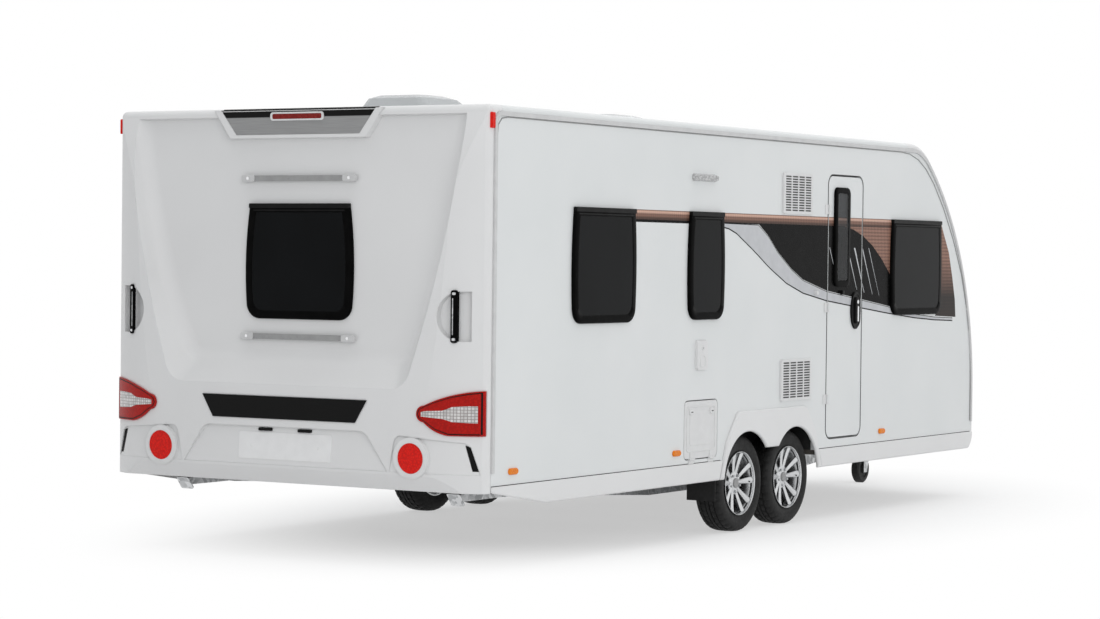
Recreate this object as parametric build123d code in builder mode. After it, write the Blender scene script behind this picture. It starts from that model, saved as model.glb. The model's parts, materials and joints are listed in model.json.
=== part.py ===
"""Twin-axle touring caravan, parked on its four road wheels and jockey wheel.

Millimetres. +X points forwards to the coupling, +Y to the left-hand side, +Z up, and the
origin lies on the ground under the middle of the overall length. Places along the caravan
are stations: distances forwards from the rear corner line of the body.
"""

import os
from math import asin, atan2, cos, degrees, radians, sin, sqrt

from build123d import *

# Body shell
BODY_WIDTH = 2450.0
WALL = 30.0
ROOF = 35.0
FLOOR = 30.0
FLOOR_TOP = 445.0
EAVES = 2390.0
WALL_REAR = 30.0
BODY_FRONT = 6285.0
NOSE_RADIUS = 1930.0
NOSE_FOOT = 750.0
BROW_RADIUS = 450.0
CORNER_RADIUS = 60.0
ROOF_EDGE = 28.0
REAR_EDGE = 40.0
REAR_JOINT = 110.0
FRONT_JOINT = 5150.0

# Fits and running gaps
FIT = 0.3
DOOR_GAP = 6.0
HINGE_STANDOFF = 8.0
KNUCKLE = 7.0
LEAF = 4.0

# Rear moulding
BUMPER_REACH = 115.0
BUMPER_SWEEP = 355.0
FIELD_STATION = 25.0
REAR_LINER = 30.0
LAMP_PROUD = 12.0
LAMP_DEPTH = 25.0
STRIP_PROUD = 6.0
STRIP_DEPTH = 12.0
RING_RADIUS = 110.0
REFLECTOR_RADIUS = 80.0
REFLECTOR_INSET = 399.0
REFLECTOR_Z = 588.0
REAR_SKIN = 45.0
REAR_CAVITY_TOP = 2250.0
POCKET_FILLET = 95.0

# Windows
WINDOW_PROUD = 24.0
WINDOW_LAP = 24.0
WINDOW_TOP = 1910.0
WINDOW_CORNER = 85.0
WINDOW_EDGE = 9.0

# Entry door, seen on the right-hand side
DOOR_REAR = 3964.0
DOOR_WIDTH = 497.0
DOOR_BOTTOM = 515.0
DOOR_TOP = 2172.0
DOOR_CORNER = 60.0

# Service hatch and front locker
HATCH_REAR = 2100.0
HATCH_WIDTH = 400.0
HATCH_BOTTOM = 478.0
HATCH_TOP = 812.0
HATCH_CORNER = 30.0
LOCKER_WIDTH = 1500.0
LOCKER_BOTTOM = 640.0
LOCKER_TOP = 1060.0
LOCKER_CORNER = 50.0

# Running gear
REAR_WHEEL = 2888.0
FRONT_WHEEL = 3522.0
TYRE_RADIUS = 291.5
TYRE_WIDTH = 175.0
RIM_RADIUS = 178.0
WHEEL_INSET = 38.0
ARCH_RADIUS = 315.0
AXLE_LEAD = 130.0
AXLE_TUBE = 45.0
AXLE_HEIGHT = 305.0
STUB = 20.0
RAIL_INSET = 445.0

# Front end
COUPLING_TIP = 7745.0
COUPLING_HEIGHT = 430.0
JOCKEY_STATION = 6880.0
JOCKEY_Y = -118.0
JOCKEY_RADIUS = 100.0
JOCKEY_TRAIL = 45.0

HALF = BODY_WIDTH / 2
BUMPER_FLAT = HALF - BUMPER_SWEEP
RAIL_Y = HALF - RAIL_INSET
FLOOR_BOTTOM = FLOOR_TOP - FLOOR
ROOF_TOP = EAVES + ROOF
WHEEL_Y = HALF - WHEEL_INSET - TYRE_WIDTH / 2
REAR_REACH = BUMPER_REACH + LAMP_PROUD
REAR_CORNER = -(COUPLING_TIP - REAR_REACH) / 2

REFLECTOR_Y = HALF - REFLECTOR_INSET
SIDES = (1, -1)


def at(station):
    """Frame X of a station."""
    return REAR_CORNER + station


def save(builder, name):
    """Label one finished sub-part and write it as a STEP file."""
    builder.part.label = name
    export_step(builder.part, f"parts/{name}.step")


def across(station):
    """Sketch plane across the caravan: local x is Y, local y is Z, extruding forwards."""
    return Plane.YZ.offset(at(station))


def along(y):
    """Sketch plane along the caravan at y: local x is X, local y is Z, extruding to the right."""
    return Plane.XZ.offset(-y)


def edges_out_at(builder, y):
    """Edges round the faces that lie y out from the middle, on either side."""
    return builder.faces().filter_by(lambda face: abs(abs(face.center().Y) - y) < 0.01).edges()


def face_of(*points):
    """Straight-sided face through the points, in the sketch being drawn."""
    Polygon(*points, align=None)


os.makedirs("parts", exist_ok=True)

# Nose of the cabin in side view: one large arc rising from the upright foot, then a brow arc
# tangent to it and to the flat roof. Growing it keeps both centres.
NOSE_CENTRE = (at(BODY_FRONT - NOSE_RADIUS), NOSE_FOOT)
BROW_Z = EAVES - BROW_RADIUS
BROW_RUN = sqrt((NOSE_RADIUS - BROW_RADIUS) ** 2 - (BROW_Z - NOSE_FOOT) ** 2)
BROW_CENTRE = (NOSE_CENTRE[0] + BROW_RUN, BROW_Z)
BROW_ANGLE = degrees(atan2(BROW_Z - NOSE_FOOT, BROW_RUN))


def nose_line(grow):
    """The two arcs from the upright nose foot up to the roof, moved outwards by grow."""
    CenterArc(NOSE_CENTRE, NOSE_RADIUS + grow, 0, BROW_ANGLE)
    CenterArc(BROW_CENTRE, BROW_RADIUS + grow, BROW_ANGLE, 90 - BROW_ANGLE)


def nose_x(z, grow):
    """Frame X of the nose surface at height z."""
    return NOSE_CENTRE[0] + sqrt((NOSE_RADIUS + grow) ** 2 - max(z - NOSE_FOOT, 0) ** 2)


def cabin_side(low=FLOOR_TOP):
    """Side view of the space between roof, rear and front mouldings, down to low."""
    rear, front = at(WALL_REAR), at(BODY_FRONT)
    with BuildLine() as line:
        Line((rear + CORNER_RADIUS, EAVES), (BROW_CENTRE[0], EAVES))
        nose_line(0)
        Line((front, NOSE_FOOT), (front, low))
        Line((front, low), (rear, low))
        Line((rear, low), (rear, EAVES - CORNER_RADIUS))
        CenterArc((rear + CORNER_RADIUS, EAVES - CORNER_RADIUS), CORNER_RADIUS, 90, 90)
    make_face(line.edges())


def body_side():
    """Side view of the whole body with its rear moulding, roof and front moulding."""
    front = at(BODY_FRONT) + ROOF
    bumper = at(-BUMPER_REACH)
    pillar_top = (at(WALL_REAR) - REAR_EDGE, ROOF_TOP - REAR_EDGE)
    pillar_shoulder = (bumper + 25, ROOF_TOP - 525)
    with BuildLine() as line:
        Line((at(WALL_REAR), ROOF_TOP), (BROW_CENTRE[0], ROOF_TOP))
        nose_line(ROOF)
        Line((front, NOSE_FOOT), (front, FLOOR_BOTTOM))
        Line((front, FLOOR_BOTTOM), (at(-65), FLOOR_BOTTOM))
        Line((at(-65), FLOOR_BOTTOM), (bumper + 6, 496))
        ThreePointArc((bumper + 6, 496), (bumper, 700), (bumper + 3, 950))
        Line((bumper + 3, 950), pillar_shoulder)
        ThreePointArc(pillar_shoulder, (at(-61), ROOF_TOP - 255), pillar_top)
        CenterArc((at(WALL_REAR), ROOF_TOP - REAR_EDGE), REAR_EDGE, 90, 90)
    make_face(line.edges())


def body_plan():
    """Plan of the body: a bowed bumper whose ends sweep forwards into the sides."""
    bumper, sweep, corner = at(-BUMPER_REACH), (at(-18), HALF - 25), (at(34), HALF)
    front = at(BODY_FRONT) + 2 * ROOF
    with BuildLine() as line:
        Line((bumper, -BUMPER_FLAT), (bumper, BUMPER_FLAT))
        ThreePointArc((bumper, BUMPER_FLAT), (at(-89), HALF - 185), sweep)
        ThreePointArc(sweep, (at(6), HALF - 7), corner)
        Line(corner, (front, HALF))
        Line((front, HALF), (front, -HALF))
        Line((front, -HALF), (corner[0], -HALF))
        ThreePointArc((corner[0], -HALF), (at(6), 7 - HALF), (sweep[0], -sweep[1]))
        ThreePointArc((sweep[0], -sweep[1]), (at(-89), 185 - HALF), (bumper, -BUMPER_FLAT))
    make_face(line.edges())


def body_block(shift=0.0):
    """Solid body between the outer faces of its mouldings, moved forwards by shift."""
    with BuildPart() as block:
        with BuildSketch(Plane.XZ):
            body_side()
        extrude(amount=HALF, both=True)
        brims = [
            edge
            for edge in block.edges().filter_by(Axis.Y, reverse=True)
            if edge.center().Z > FLOOR_BOTTOM + 1
        ]
        fillet(brims, radius=ROOF_EDGE)
        with BuildSketch(Plane.XY):
            body_plan()
        extrude(amount=2 * ROOF_TOP, both=True, mode=Mode.INTERSECT)
    return block.part.moved(Location((shift, 0, 0)))


def cabin_block():
    """Solid filling the cabin and floor from outer wall face to outer wall face."""
    with BuildPart() as block:
        with BuildSketch(Plane.XZ):
            cabin_side(FLOOR_BOTTOM - 1)
        extrude(amount=HALF + 1, both=True)
    return block.part


BODY = body_block()
CABIN = cabin_block()


def moulding(first, last):
    """Part of the body's outer moulding between two stations, in the part being built."""
    add(BODY)
    add(CABIN, mode=Mode.SUBTRACT)
    with BuildSketch(across(first)) as section:
        Rectangle(2 * BODY_WIDTH, 4 * ROOF_TOP)
    extrude(section.sketch, amount=last - first, mode=Mode.INTERSECT)


# Rear moulding: outlines across the caravan, drawn for one side (+1 left, -1 right)
# or for both at once where they cross the middle.
POCKET_RIM = {"top": (HALF - 97, 2386), "waist": (HALF - 263, 1500), "foot": (HALF - 440, 925), "corner": 130}
POCKET_BED = {"top": (HALF - 149, 2374), "waist": (HALF - 337, 1500), "foot": (HALF - 520, 1088), "corner": 100}
PLATE_RECESS = {"top": 530.0, "bottom": 672.0, "high": 716.0, "low": 512.0, "depth": 26.0, "corner": 70.0}
END_RECESS = {"inner": HALF - 505, "outer": HALF - 30, "high": 706.0, "low": 512.0, "depth": 15.0, "corner": 45.0}
RUN_OUT = 45.0
SPOILER = {"top": 560.0, "bottom": 450.0, "low": 2262.0, "proud": 40.0}
INSERT = {"top": 505.0, "bottom": 408.0, "low": 2282.0, "high": 2408.0, "depth": 10.0}
BRAKE_LAMP = {"width": 334.0, "low": INSERT["high"] - 48, "high": INSERT["high"] - 10}
GRAB = {
    "y": HALF - 159, "z": 1328.0, "bar": 32.0, "length": 272.0, "proud": 10.0,
    "recess_reach": (80.0, 18.0, -96.0), "recess_height": 256.0, "recess_depth": 34.0,
}
STRIP = ((-542, 879), (542, 879), (469, 759), (-469, 759))


def pocket_face(edge, grow=0.0):
    """Recessed window field, wide at the roof and narrow at the ledge over the bumper."""
    (top, top_z), (waist, waist_z), (foot, foot_z) = edge["top"], edge["waist"], edge["foot"]
    top, waist, foot, foot_z = top + grow, waist + grow, foot + grow, foot_z - grow
    with BuildLine() as line:
        Line((-foot, foot_z), (foot, foot_z))
        ThreePointArc((foot, foot_z), (waist, waist_z), (top, top_z))
        Line((top, top_z), (-top, top_z))
        ThreePointArc((-top, top_z), (-waist, waist_z), (-foot, foot_z))
    make_face(line.edges())


def tail_lamp_face(side):
    """Tail lamp: a blunt inner tip that swells to a tall end wrapped round the corner."""
    tip, outer, low, high = (HALF - 320) * side, (HALF - 11) * side, 713, 946
    with BuildLine() as line:
        ThreePointArc((tip, 780), (tip - 43 * side, 822), (tip, 864))
        ThreePointArc((tip, 864), (tip + 155 * side, 921), (outer, high))
        Line((outer, high), (outer, low))
        Line((outer, low), (tip + 135 * side, low))
        ThreePointArc((tip + 135 * side, low), (tip + 60 * side, 737), (tip, 780))
    make_face(line.edges())


def vent_face(side):
    """Leaning slot vent at the outer end of the bumper."""
    top, foot, wide = HALF - 107, HALF - 68, 32
    face_of((top * side, 664), ((top + wide) * side, 656), ((foot + wide) * side, 530), (foot * side, 530))


def both_lamps():
    for side in SIDES:
        tail_lamp_face(side)


def both_vents():
    for side in SIDES:
        vent_face(side)


def both_reflectors():
    with Locations(*[(side * REFLECTOR_Y, REFLECTOR_Z) for side in SIDES]):
        Circle(REFLECTOR_RADIUS)


def both_rings():
    with Locations(*[(side * REFLECTOR_Y, REFLECTOR_Z) for side in SIDES]):
        Circle(RING_RADIUS)


def name_strip():
    face_of(*STRIP)


def both_grab_bars():
    with Locations(*[(side * GRAB["y"], GRAB["z"]) for side in SIDES]):
        RectangleRounded(GRAB["bar"], GRAB["length"], 12)


def both_grab_recesses():
    """Hand room behind each grab bar: straight on the outside, bowed towards the window field."""
    low, high = GRAB["z"] - GRAB["recess_height"] / 2, GRAB["z"] + GRAB["recess_height"] / 2
    for side in SIDES:
        straight, shoulder, belly = ((GRAB["y"] + reach) * side for reach in GRAB["recess_reach"])
        with BuildLine() as line:
            Line((straight, low), (straight, high))
            Line((straight, high), (shoulder, high))
            ThreePointArc((shoulder, high), (belly, GRAB["z"]), (shoulder, low))
            Line((shoulder, low), (straight, low))
        make_face(line.edges())


def rear_prism(draw):
    """Prism of a rear outline, from behind the bumper to inside the cabin."""
    with BuildPart() as prism:
        with BuildSketch(across(-2 * REAR_REACH)):
            draw()
        extrude(amount=2 * REAR_REACH + FIELD_STATION)
    return prism.part


def inlay(draw, proud, depth):
    """Piece let into the rear surface: it stands proud and reaches depth into it."""
    with BuildPart() as piece:
        add(rear_prism(draw))
        add(body_block(-proud), mode=Mode.INTERSECT)
        add(body_block(depth), mode=Mode.SUBTRACT)
    return piece.part


def inlay_pocket(draw, depth):
    """Pocket that an inlay of that depth seats in."""
    with BuildPart() as pocket:
        add(rear_prism(draw))
        add(body_block(depth + FIT), mode=Mode.SUBTRACT)
    return pocket.part


def plate_recess_face():
    """Place of the number plate: round upper corners, sides spreading downwards."""
    top, bottom, high, low = (PLATE_RECESS[key] for key in ("top", "bottom", "high", "low"))
    with BuildLine() as line:
        FilletPolyline((-bottom, low), (-top, high), (top, high), (bottom, low), radius=PLATE_RECESS["corner"])
        Line((bottom, low), (-bottom, low))
    make_face(line.edges())


def both_end_recesses():
    """Shallow field round each reflector, under a brow that falls outwards."""
    inner, outer, high, low = (END_RECESS[key] for key in ("inner", "outer", "high", "low"))
    for side in SIDES:
        with BuildLine() as line:
            FilletPolyline(
                ((inner - 35) * side, low), (inner * side, high), ((outer - 55) * side, high - 32),
                (outer * side, low), radius=END_RECESS["corner"],
            )
            Line((outer * side, low), ((inner - 35) * side, low))
        make_face(line.edges())


def leaning_body(size, shift=0.0):
    """Body turned about a line below a recess, so that its rear surface is the recess's bed."""
    hinge = Axis((at(-BUMPER_REACH), 0, size["low"] - RUN_OUT), (0, 1, 0))
    lean = degrees(atan2(size["depth"], size["high"] - size["low"] + RUN_OUT))
    return body_block(shift).rotate(hinge, lean)


def fading_recess(draw, size, depth=0.0):
    """Recess as deep as size says at its upper edge, running out to a small step at its lower edge."""
    with BuildPart() as recess:
        add(rear_prism(draw))
        add(leaning_body(size, depth), mode=Mode.SUBTRACT)
    return recess.part


def rear_cavity():
    """Hollow behind the bumper and pillars, open below, a skin away from the outer faces."""
    front = FIELD_STATION - 10
    with BuildPart() as hollow:
        add(body_block(REAR_SKIN))
        with BuildSketch(across(-BUMPER_REACH)):
            with Locations((0, REAR_CAVITY_TOP)):
                Rectangle(BODY_WIDTH - 2 * REAR_SKIN, 2 * REAR_CAVITY_TOP, align=(Align.CENTER, Align.MAX))
        extrude(amount=BUMPER_REACH + front, mode=Mode.INTERSECT)
        with BuildSketch(across(-BUMPER_REACH)):
            pocket_face(POCKET_RIM, REAR_SKIN / 2)
        extrude(amount=BUMPER_REACH + front, mode=Mode.SUBTRACT)
    return hollow.part


# Every window: a pane that laps the wall cut by WINDOW_LAP all round.
# Columns: middle station, width at the top, width at the belly, height of the lower edge.
SIDE_WINDOWS = (
    (1155.0, 646.0, 680.0, 1280.0),
    (2330.0, 396.0, 434.0, 1284.0),
    (5300.0, 778.0, 810.0, 1280.0),
)
REAR_WINDOW = (0.0, 658.0, 708.0, 1290.0)


def window_face(middle, width, belly, low, inset=0.0):
    """Window outline: square upper corners, bowed sides, round lower corners."""
    top, low, radius = WINDOW_TOP - inset, low + inset, WINDOW_CORNER - inset / 2
    half, bow = width / 2 - inset, belly / 2 - inset
    foot = bow - 6
    bevel = radius * (1 - cos(radians(45)))
    with BuildLine() as line:
        Line((middle - half, top), (middle + half, top))
        for side in SIDES:
            ThreePointArc(
                (middle + side * half, top),
                (middle + side * bow, top + (low - top) * 0.5),
                (middle + side * foot, low + radius),
            )
            ThreePointArc(
                (middle + side * foot, low + radius),
                (middle + side * (foot - bevel), low + bevel),
                (middle + side * (foot - radius), low),
            )
        Line((middle - foot + radius, low), (middle + foot - radius, low))
    make_face(line.edges())


def door_middle():
    return at(DOOR_REAR + DOOR_WIDTH / 2), (DOOR_BOTTOM + DOOR_TOP) / 2


def door_face(grow=0.0):
    with Locations(door_middle()):
        RectangleRounded(DOOR_WIDTH + 2 * grow, DOOR_TOP - DOOR_BOTTOM + 2 * grow, DOOR_CORNER + grow)


DOOR_WINDOW = {"rear": 4039.0, "width": 223.0, "low": 1472.0, "high": 2103.0, "corner": 45.0}


def door_window_face(inset=0.0):
    middle = at(DOOR_WINDOW["rear"] + DOOR_WINDOW["width"] / 2)
    with Locations((middle, (DOOR_WINDOW["low"] + DOOR_WINDOW["high"]) / 2)):
        RectangleRounded(
            DOOR_WINDOW["width"] - 2 * inset,
            DOOR_WINDOW["high"] - DOOR_WINDOW["low"] - 2 * inset,
            DOOR_WINDOW["corner"] - inset / 2,
        )


def hatch_face(grow=0.0):
    with Locations((at(HATCH_REAR + HATCH_WIDTH / 2), (HATCH_BOTTOM + HATCH_TOP) / 2)):
        RectangleRounded(HATCH_WIDTH + 2 * grow, HATCH_TOP - HATCH_BOTTOM + 2 * grow, HATCH_CORNER + grow)


def wheel_middle():
    return at((REAR_WHEEL + FRONT_WHEEL) / 2)


WHEEL_GAP = FRONT_WHEEL - REAR_WHEEL
SPAT_TOP = 731.0
WALL_ARCH_TOP = 615.0


def wall_arch_face():
    """Cut in a side wall over the pair of wheels, hidden behind the spat."""
    middle, reach = wheel_middle(), WHEEL_GAP / 2 + ARCH_RADIUS - 27
    low, shoulder = FLOOR_TOP - 1, FLOOR_TOP + 55
    face_of(
        (middle - reach, low), (middle - reach, shoulder), (middle - reach + 120, WALL_ARCH_TOP),
        (middle + reach - 120, WALL_ARCH_TOP), (middle + reach, shoulder), (middle + reach, low),
    )


def wall_windows(inset):
    for station, width, belly, low in SIDE_WINDOWS:
        window_face(at(station), width, belly, low, inset)


# Cabin walls, with windows, wheel arches, door and hatch cut
with BuildPart() as wall_right:
    with BuildSketch(along(WALL - HALF)):
        cabin_side()
    extrude(amount=WALL)
    with BuildSketch(along(WALL - HALF)):
        wall_windows(WINDOW_LAP)
        wall_arch_face()
        door_face(DOOR_GAP)
        hatch_face(DOOR_GAP)
    extrude(amount=WALL, mode=Mode.SUBTRACT)
save(wall_right, "wall_right")

with BuildPart() as wall_left:
    with BuildSketch(along(HALF)):
        cabin_side()
    extrude(amount=WALL)
    with BuildSketch(along(HALF)):
        wall_windows(WINDOW_LAP)
        wall_arch_face()
    extrude(amount=WALL, mode=Mode.SUBTRACT)
save(wall_left, "wall_left")

# Floor, cut out over the wheels
WELL_REACH = WHEEL_GAP / 2 + ARCH_RADIUS - 10
WELL_INNER = WHEEL_Y - TYRE_WIDTH / 2 - 65
LINER = 6.0
with BuildPart() as floor_panel:
    with BuildSketch(Plane.XY.offset(FLOOR_BOTTOM)):
        with Locations((at((WALL_REAR + BODY_FRONT) / 2), 0)):
            Rectangle(BODY_FRONT - WALL_REAR, BODY_WIDTH)
        for side in SIDES:
            with Locations((wheel_middle(), side * (WELL_INNER + LINER + HALF) / 2)):
                Rectangle(2 * WELL_REACH - 2 * LINER, HALF - WELL_INNER - LINER, mode=Mode.SUBTRACT)
    extrude(amount=FLOOR)
save(floor_panel, "floor_panel")

# Wheel boxes stand on the floor and close the cabin over the wheels
BOX_TOP = WALL_ARCH_TOP + 12
with BuildPart() as wheel_boxes:
    for side in SIDES:
        inner, outer = WELL_INNER, HALF - WALL
        with BuildSketch(Plane.XY.offset(FLOOR_TOP)):
            with Locations((wheel_middle(), side * (inner + outer) / 2)):
                Rectangle(2 * WELL_REACH, outer - inner)
        extrude(amount=BOX_TOP - FLOOR_TOP)
        with BuildSketch(Plane.XY.offset(FLOOR_TOP)):
            with Locations((wheel_middle(), side * (inner + LINER + outer) / 2)):
                Rectangle(2 * WELL_REACH - 2 * LINER, outer - inner - LINER)
        extrude(amount=BOX_TOP - FLOOR_TOP - LINER, mode=Mode.SUBTRACT)
save(wheel_boxes, "wheel_boxes")

# Rear moulding: recessed window field, swept pillars, bumper with lamp, strip and plate recesses
lamp_pocket = inlay_pocket(both_lamps, LAMP_DEPTH)
strip_pocket = inlay_pocket(name_strip, STRIP_DEPTH)
vent_pocket = fading_recess(both_vents, END_RECESS, STRIP_DEPTH + FIT)
reflector_pocket = inlay_pocket(both_reflectors, STRIP_DEPTH)
grab_recess = inlay_pocket(both_grab_recesses, GRAB["recess_depth"])
grab_pocket = inlay_pocket(both_grab_bars, STRIP_DEPTH)
plate_recess = fading_recess(plate_recess_face, PLATE_RECESS)
end_recesses = fading_recess(both_end_recesses, END_RECESS)
cavity = rear_cavity()
rings = inlay(both_rings, LAMP_PROUD, STRIP_DEPTH + END_RECESS["depth"])


def spoiler_face():
    top, bottom = SPOILER["top"], SPOILER["bottom"]
    face_of((-top, ROOF_TOP - 8), (top, ROOF_TOP - 8), (bottom, SPOILER["low"]), (-bottom, SPOILER["low"]))


def insert_face(inset=0.0):
    top, bottom = INSERT["top"] - inset, INSERT["bottom"] - inset
    low, high = INSERT["low"] + inset, INSERT["high"] - inset
    face_of((-top, high), (top, high), (bottom, low), (-bottom, low))


def lies_on(point, solid):
    return min(face.distance_to(point) for face in solid.faces()) < 0.01


with BuildPart() as window_pocket:
    with BuildSketch(across(-BUMPER_REACH - 15)) as rim:
        pocket_face(POCKET_RIM)
        fillet(rim.vertices().sort_by(Axis.Y)[:2], POCKET_RIM["corner"])
    with BuildSketch(across(FIELD_STATION)) as bed:
        pocket_face(POCKET_BED)
        fillet(bed.vertices().sort_by(Axis.Y)[:2], POCKET_BED["corner"])
    loft(ruled=True)

SPOILER_BACK = FIELD_STATION - SPOILER["proud"]
POCKET_EAVES = POCKET_BED["top"][1] - 75
with BuildPart() as rear_panel:
    moulding(-2 * REAR_REACH, REAR_JOINT)
    add(window_pocket.part, mode=Mode.SUBTRACT)
    field = rear_panel.faces().filter_by(Axis.X).filter_by(lambda face: lies_on(face.center(), window_pocket.part))
    fillet([edge for edge in field[0].outer_wire().edges() if edge.center().Z < POCKET_EAVES], POCKET_FILLET)
    for recess in (cavity, plate_recess, end_recesses):
        add(recess, mode=Mode.SUBTRACT)
    with BuildSketch(across(SPOILER_BACK)):
        spoiler_face()
    extrude(amount=SPOILER["proud"] + WALL_REAR - FIELD_STATION)
    with BuildSketch(across(SPOILER_BACK - 50)):
        insert_face()
    extrude(amount=50 + INSERT["depth"], mode=Mode.SUBTRACT)
    with BuildSketch(across(WALL_REAR)):
        with Locations((0, (FLOOR_TOP + EAVES - CORNER_RADIUS) / 2)):
            Rectangle(BODY_WIDTH - 2 * WALL, EAVES - CORNER_RADIUS - FLOOR_TOP)
    extrude(amount=REAR_LINER)
    with BuildSketch(across(FIELD_STATION - 5)):
        window_face(*REAR_WINDOW, inset=WINDOW_LAP)
    extrude(amount=WALL_REAR + REAR_LINER, mode=Mode.SUBTRACT)
    add(rings)
    for pocket in (lamp_pocket, strip_pocket, vent_pocket, reflector_pocket, grab_recess, grab_pocket):
        add(pocket, mode=Mode.SUBTRACT)
save(rear_panel, "rear_panel")

# Roof, with two cut-outs under the roof lights
# Columns: middle station, y, length, width, height, rake of the rear end, rake of the front end
ROOF_LIGHTS = (
    (1150.0, 0.0, 600.0, 520.0, 118.0, 60.0, 220.0),
    (3050.0, -160.0, 560.0, 440.0, 100.0, 60.0, 120.0),
)
ROOF_LIGHT_LAP = 40.0
DOME_SKIN = 6.0
DOME_CORNER = 60.0
SIDE_RAKE = 70.0
# Columns of a dome's outlines: share of its height, share of its rakes, extra inset of its crown
DOME_OUTLINES = ((0.0, 0.0, 0.0), (0.85, 0.8, 0.0), (1.0, 1.0, 30.0))
with BuildPart() as roof_panel:
    moulding(REAR_JOINT, FRONT_JOINT)
    with BuildSketch(Plane.XY.offset(EAVES)):
        for station, y, length, width, *_ in ROOF_LIGHTS:
            with Locations((at(station), y)):
                Rectangle(length - 2 * ROOF_LIGHT_LAP, width - 2 * ROOF_LIGHT_LAP)
    extrude(amount=ROOF, mode=Mode.SUBTRACT)
save(roof_panel, "roof_panel")


def dome(station, y, length, width, height, rear_rake, front_rake):
    """Roof light through outlines that its rakes set back as they rise."""
    with BuildPart() as cover:
        for rise, share, crown in DOME_OUTLINES:
            with BuildSketch(Plane.XY.offset(ROOF_TOP + rise * height)):
                with Locations((at(station) + share * (rear_rake - front_rake) / 2, y)):
                    RectangleRounded(
                        length - share * (rear_rake + front_rake) - 2 * crown,
                        width - 2 * share * SIDE_RAKE - 2 * crown,
                        DOME_CORNER,
                    )
        loft(ruled=True)
    return cover.part


with BuildPart() as roof_lights:
    for station, y, length, width, *shape in ROOF_LIGHTS:
        add(dome(station, y, length, width, *shape))
        height, rear_rake, front_rake = shape
        inner = dome(
            station, y, length - 2 * DOME_SKIN, width - 2 * DOME_SKIN, height - DOME_SKIN, rear_rake, front_rake
        )
        add(inner, mode=Mode.SUBTRACT)
save(roof_lights, "roof_lights")

# Front moulding, with the front window and the locker opening cut
FRONT_WINDOW = {"width": 1720.0, "low": 1190.0, "high": 1840.0, "corner": 110.0, "proud": 20.0}


def front_window_face(inset=0.0):
    with Locations((0, (FRONT_WINDOW["low"] + FRONT_WINDOW["high"]) / 2)):
        RectangleRounded(
            FRONT_WINDOW["width"] - 2 * inset,
            FRONT_WINDOW["high"] - FRONT_WINDOW["low"] - 2 * inset,
            FRONT_WINDOW["corner"] - inset / 2,
        )


def locker_face(grow=0.0):
    with Locations((0, (LOCKER_BOTTOM + LOCKER_TOP) / 2)):
        RectangleRounded(LOCKER_WIDTH + 2 * grow, LOCKER_TOP - LOCKER_BOTTOM + 2 * grow, LOCKER_CORNER + grow)


def nose_sheet(inner, outer):
    """Sheet that follows the nose between two offsets from the cabin outline."""
    with BuildPart() as sheet:
        with BuildSketch(Plane.XZ):
            with BuildLine():
                nose_line(outer)
                Line((BROW_CENTRE[0], EAVES + outer), (BROW_CENTRE[0], FLOOR_TOP))
                Line((BROW_CENTRE[0], FLOOR_TOP), (at(BODY_FRONT) + outer, FLOOR_TOP))
                Line((at(BODY_FRONT) + outer, FLOOR_TOP), (at(BODY_FRONT) + outer, NOSE_FOOT))
            make_face()
            with BuildLine():
                nose_line(inner)
                Line((BROW_CENTRE[0], EAVES + inner), (BROW_CENTRE[0], FLOOR_TOP))
                Line((BROW_CENTRE[0], FLOOR_TOP), (at(BODY_FRONT) + inner, FLOOR_TOP))
                Line((at(BODY_FRONT) + inner, FLOOR_TOP), (at(BODY_FRONT) + inner, NOSE_FOOT))
            make_face(mode=Mode.SUBTRACT)
        extrude(amount=HALF, both=True)
    return sheet.part


NOSE_DEPTH = BODY_FRONT + 2 * ROOF - FRONT_JOINT
with BuildPart() as front_panel:
    moulding(FRONT_JOINT, BODY_FRONT + 2 * ROOF)
    with BuildSketch(across(FRONT_JOINT)):
        front_window_face(WINDOW_LAP)
        locker_face(DOOR_GAP)
    extrude(amount=NOSE_DEPTH, mode=Mode.SUBTRACT)
save(front_panel, "front_panel")

front_glazing = nose_sheet(ROOF + FIT, ROOF + FRONT_WINDOW["proud"])
with BuildPart() as front_window:
    with BuildSketch(across(FRONT_JOINT)):
        front_window_face()
    extrude(amount=NOSE_DEPTH)
    add(front_glazing, mode=Mode.INTERSECT)
save(front_window, "front_window")

# Hinges: a middle knuckle on the leaf that moves, between two knuckles on the leaf that stays
HINGE_HALF = 30.0
MIDDLE_KNUCKLE = 12.0
LEAF_REACH = 46.0


def hinge_leaf(centre, run, inward, half, near=0.0, sink=0.0, reach=LEAF_REACH):
    """Leaf lying on the skin along run from the axis, and its share of the hinge's length."""
    axis_plane = Plane(origin=centre, x_dir=run, z_dir=run.cross(inward))
    with BuildSketch(axis_plane.offset(-half)) as section:
        with Locations(((near + reach) / 2, HINGE_STANDOFF - (LEAF - sink) / 2)):
            Rectangle(reach - near, LEAF + sink)
        if near == 0:
            Circle(KNUCKLE)
    extrude(section.sketch, amount=2 * half)


def moving_leaf(centre, run, inward, sink=0.0):
    hinge_leaf(centre, run, inward, MIDDLE_KNUCKLE - FIT, sink=sink)


def fixed_leaf(centre, run, inward, sink=0.0, reach=LEAF_REACH):
    end_half = (HINGE_HALF - MIDDLE_KNUCKLE) / 2
    for end in SIDES:
        shift = run.cross(inward) * end * (MIDDLE_KNUCKLE + end_half)
        hinge_leaf(centre + shift, run, inward, end_half, sink=sink, reach=reach)
    hinge_leaf(centre, run, inward, HINGE_HALF, near=KNUCKLE + FIT, sink=sink, reach=reach)


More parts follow.
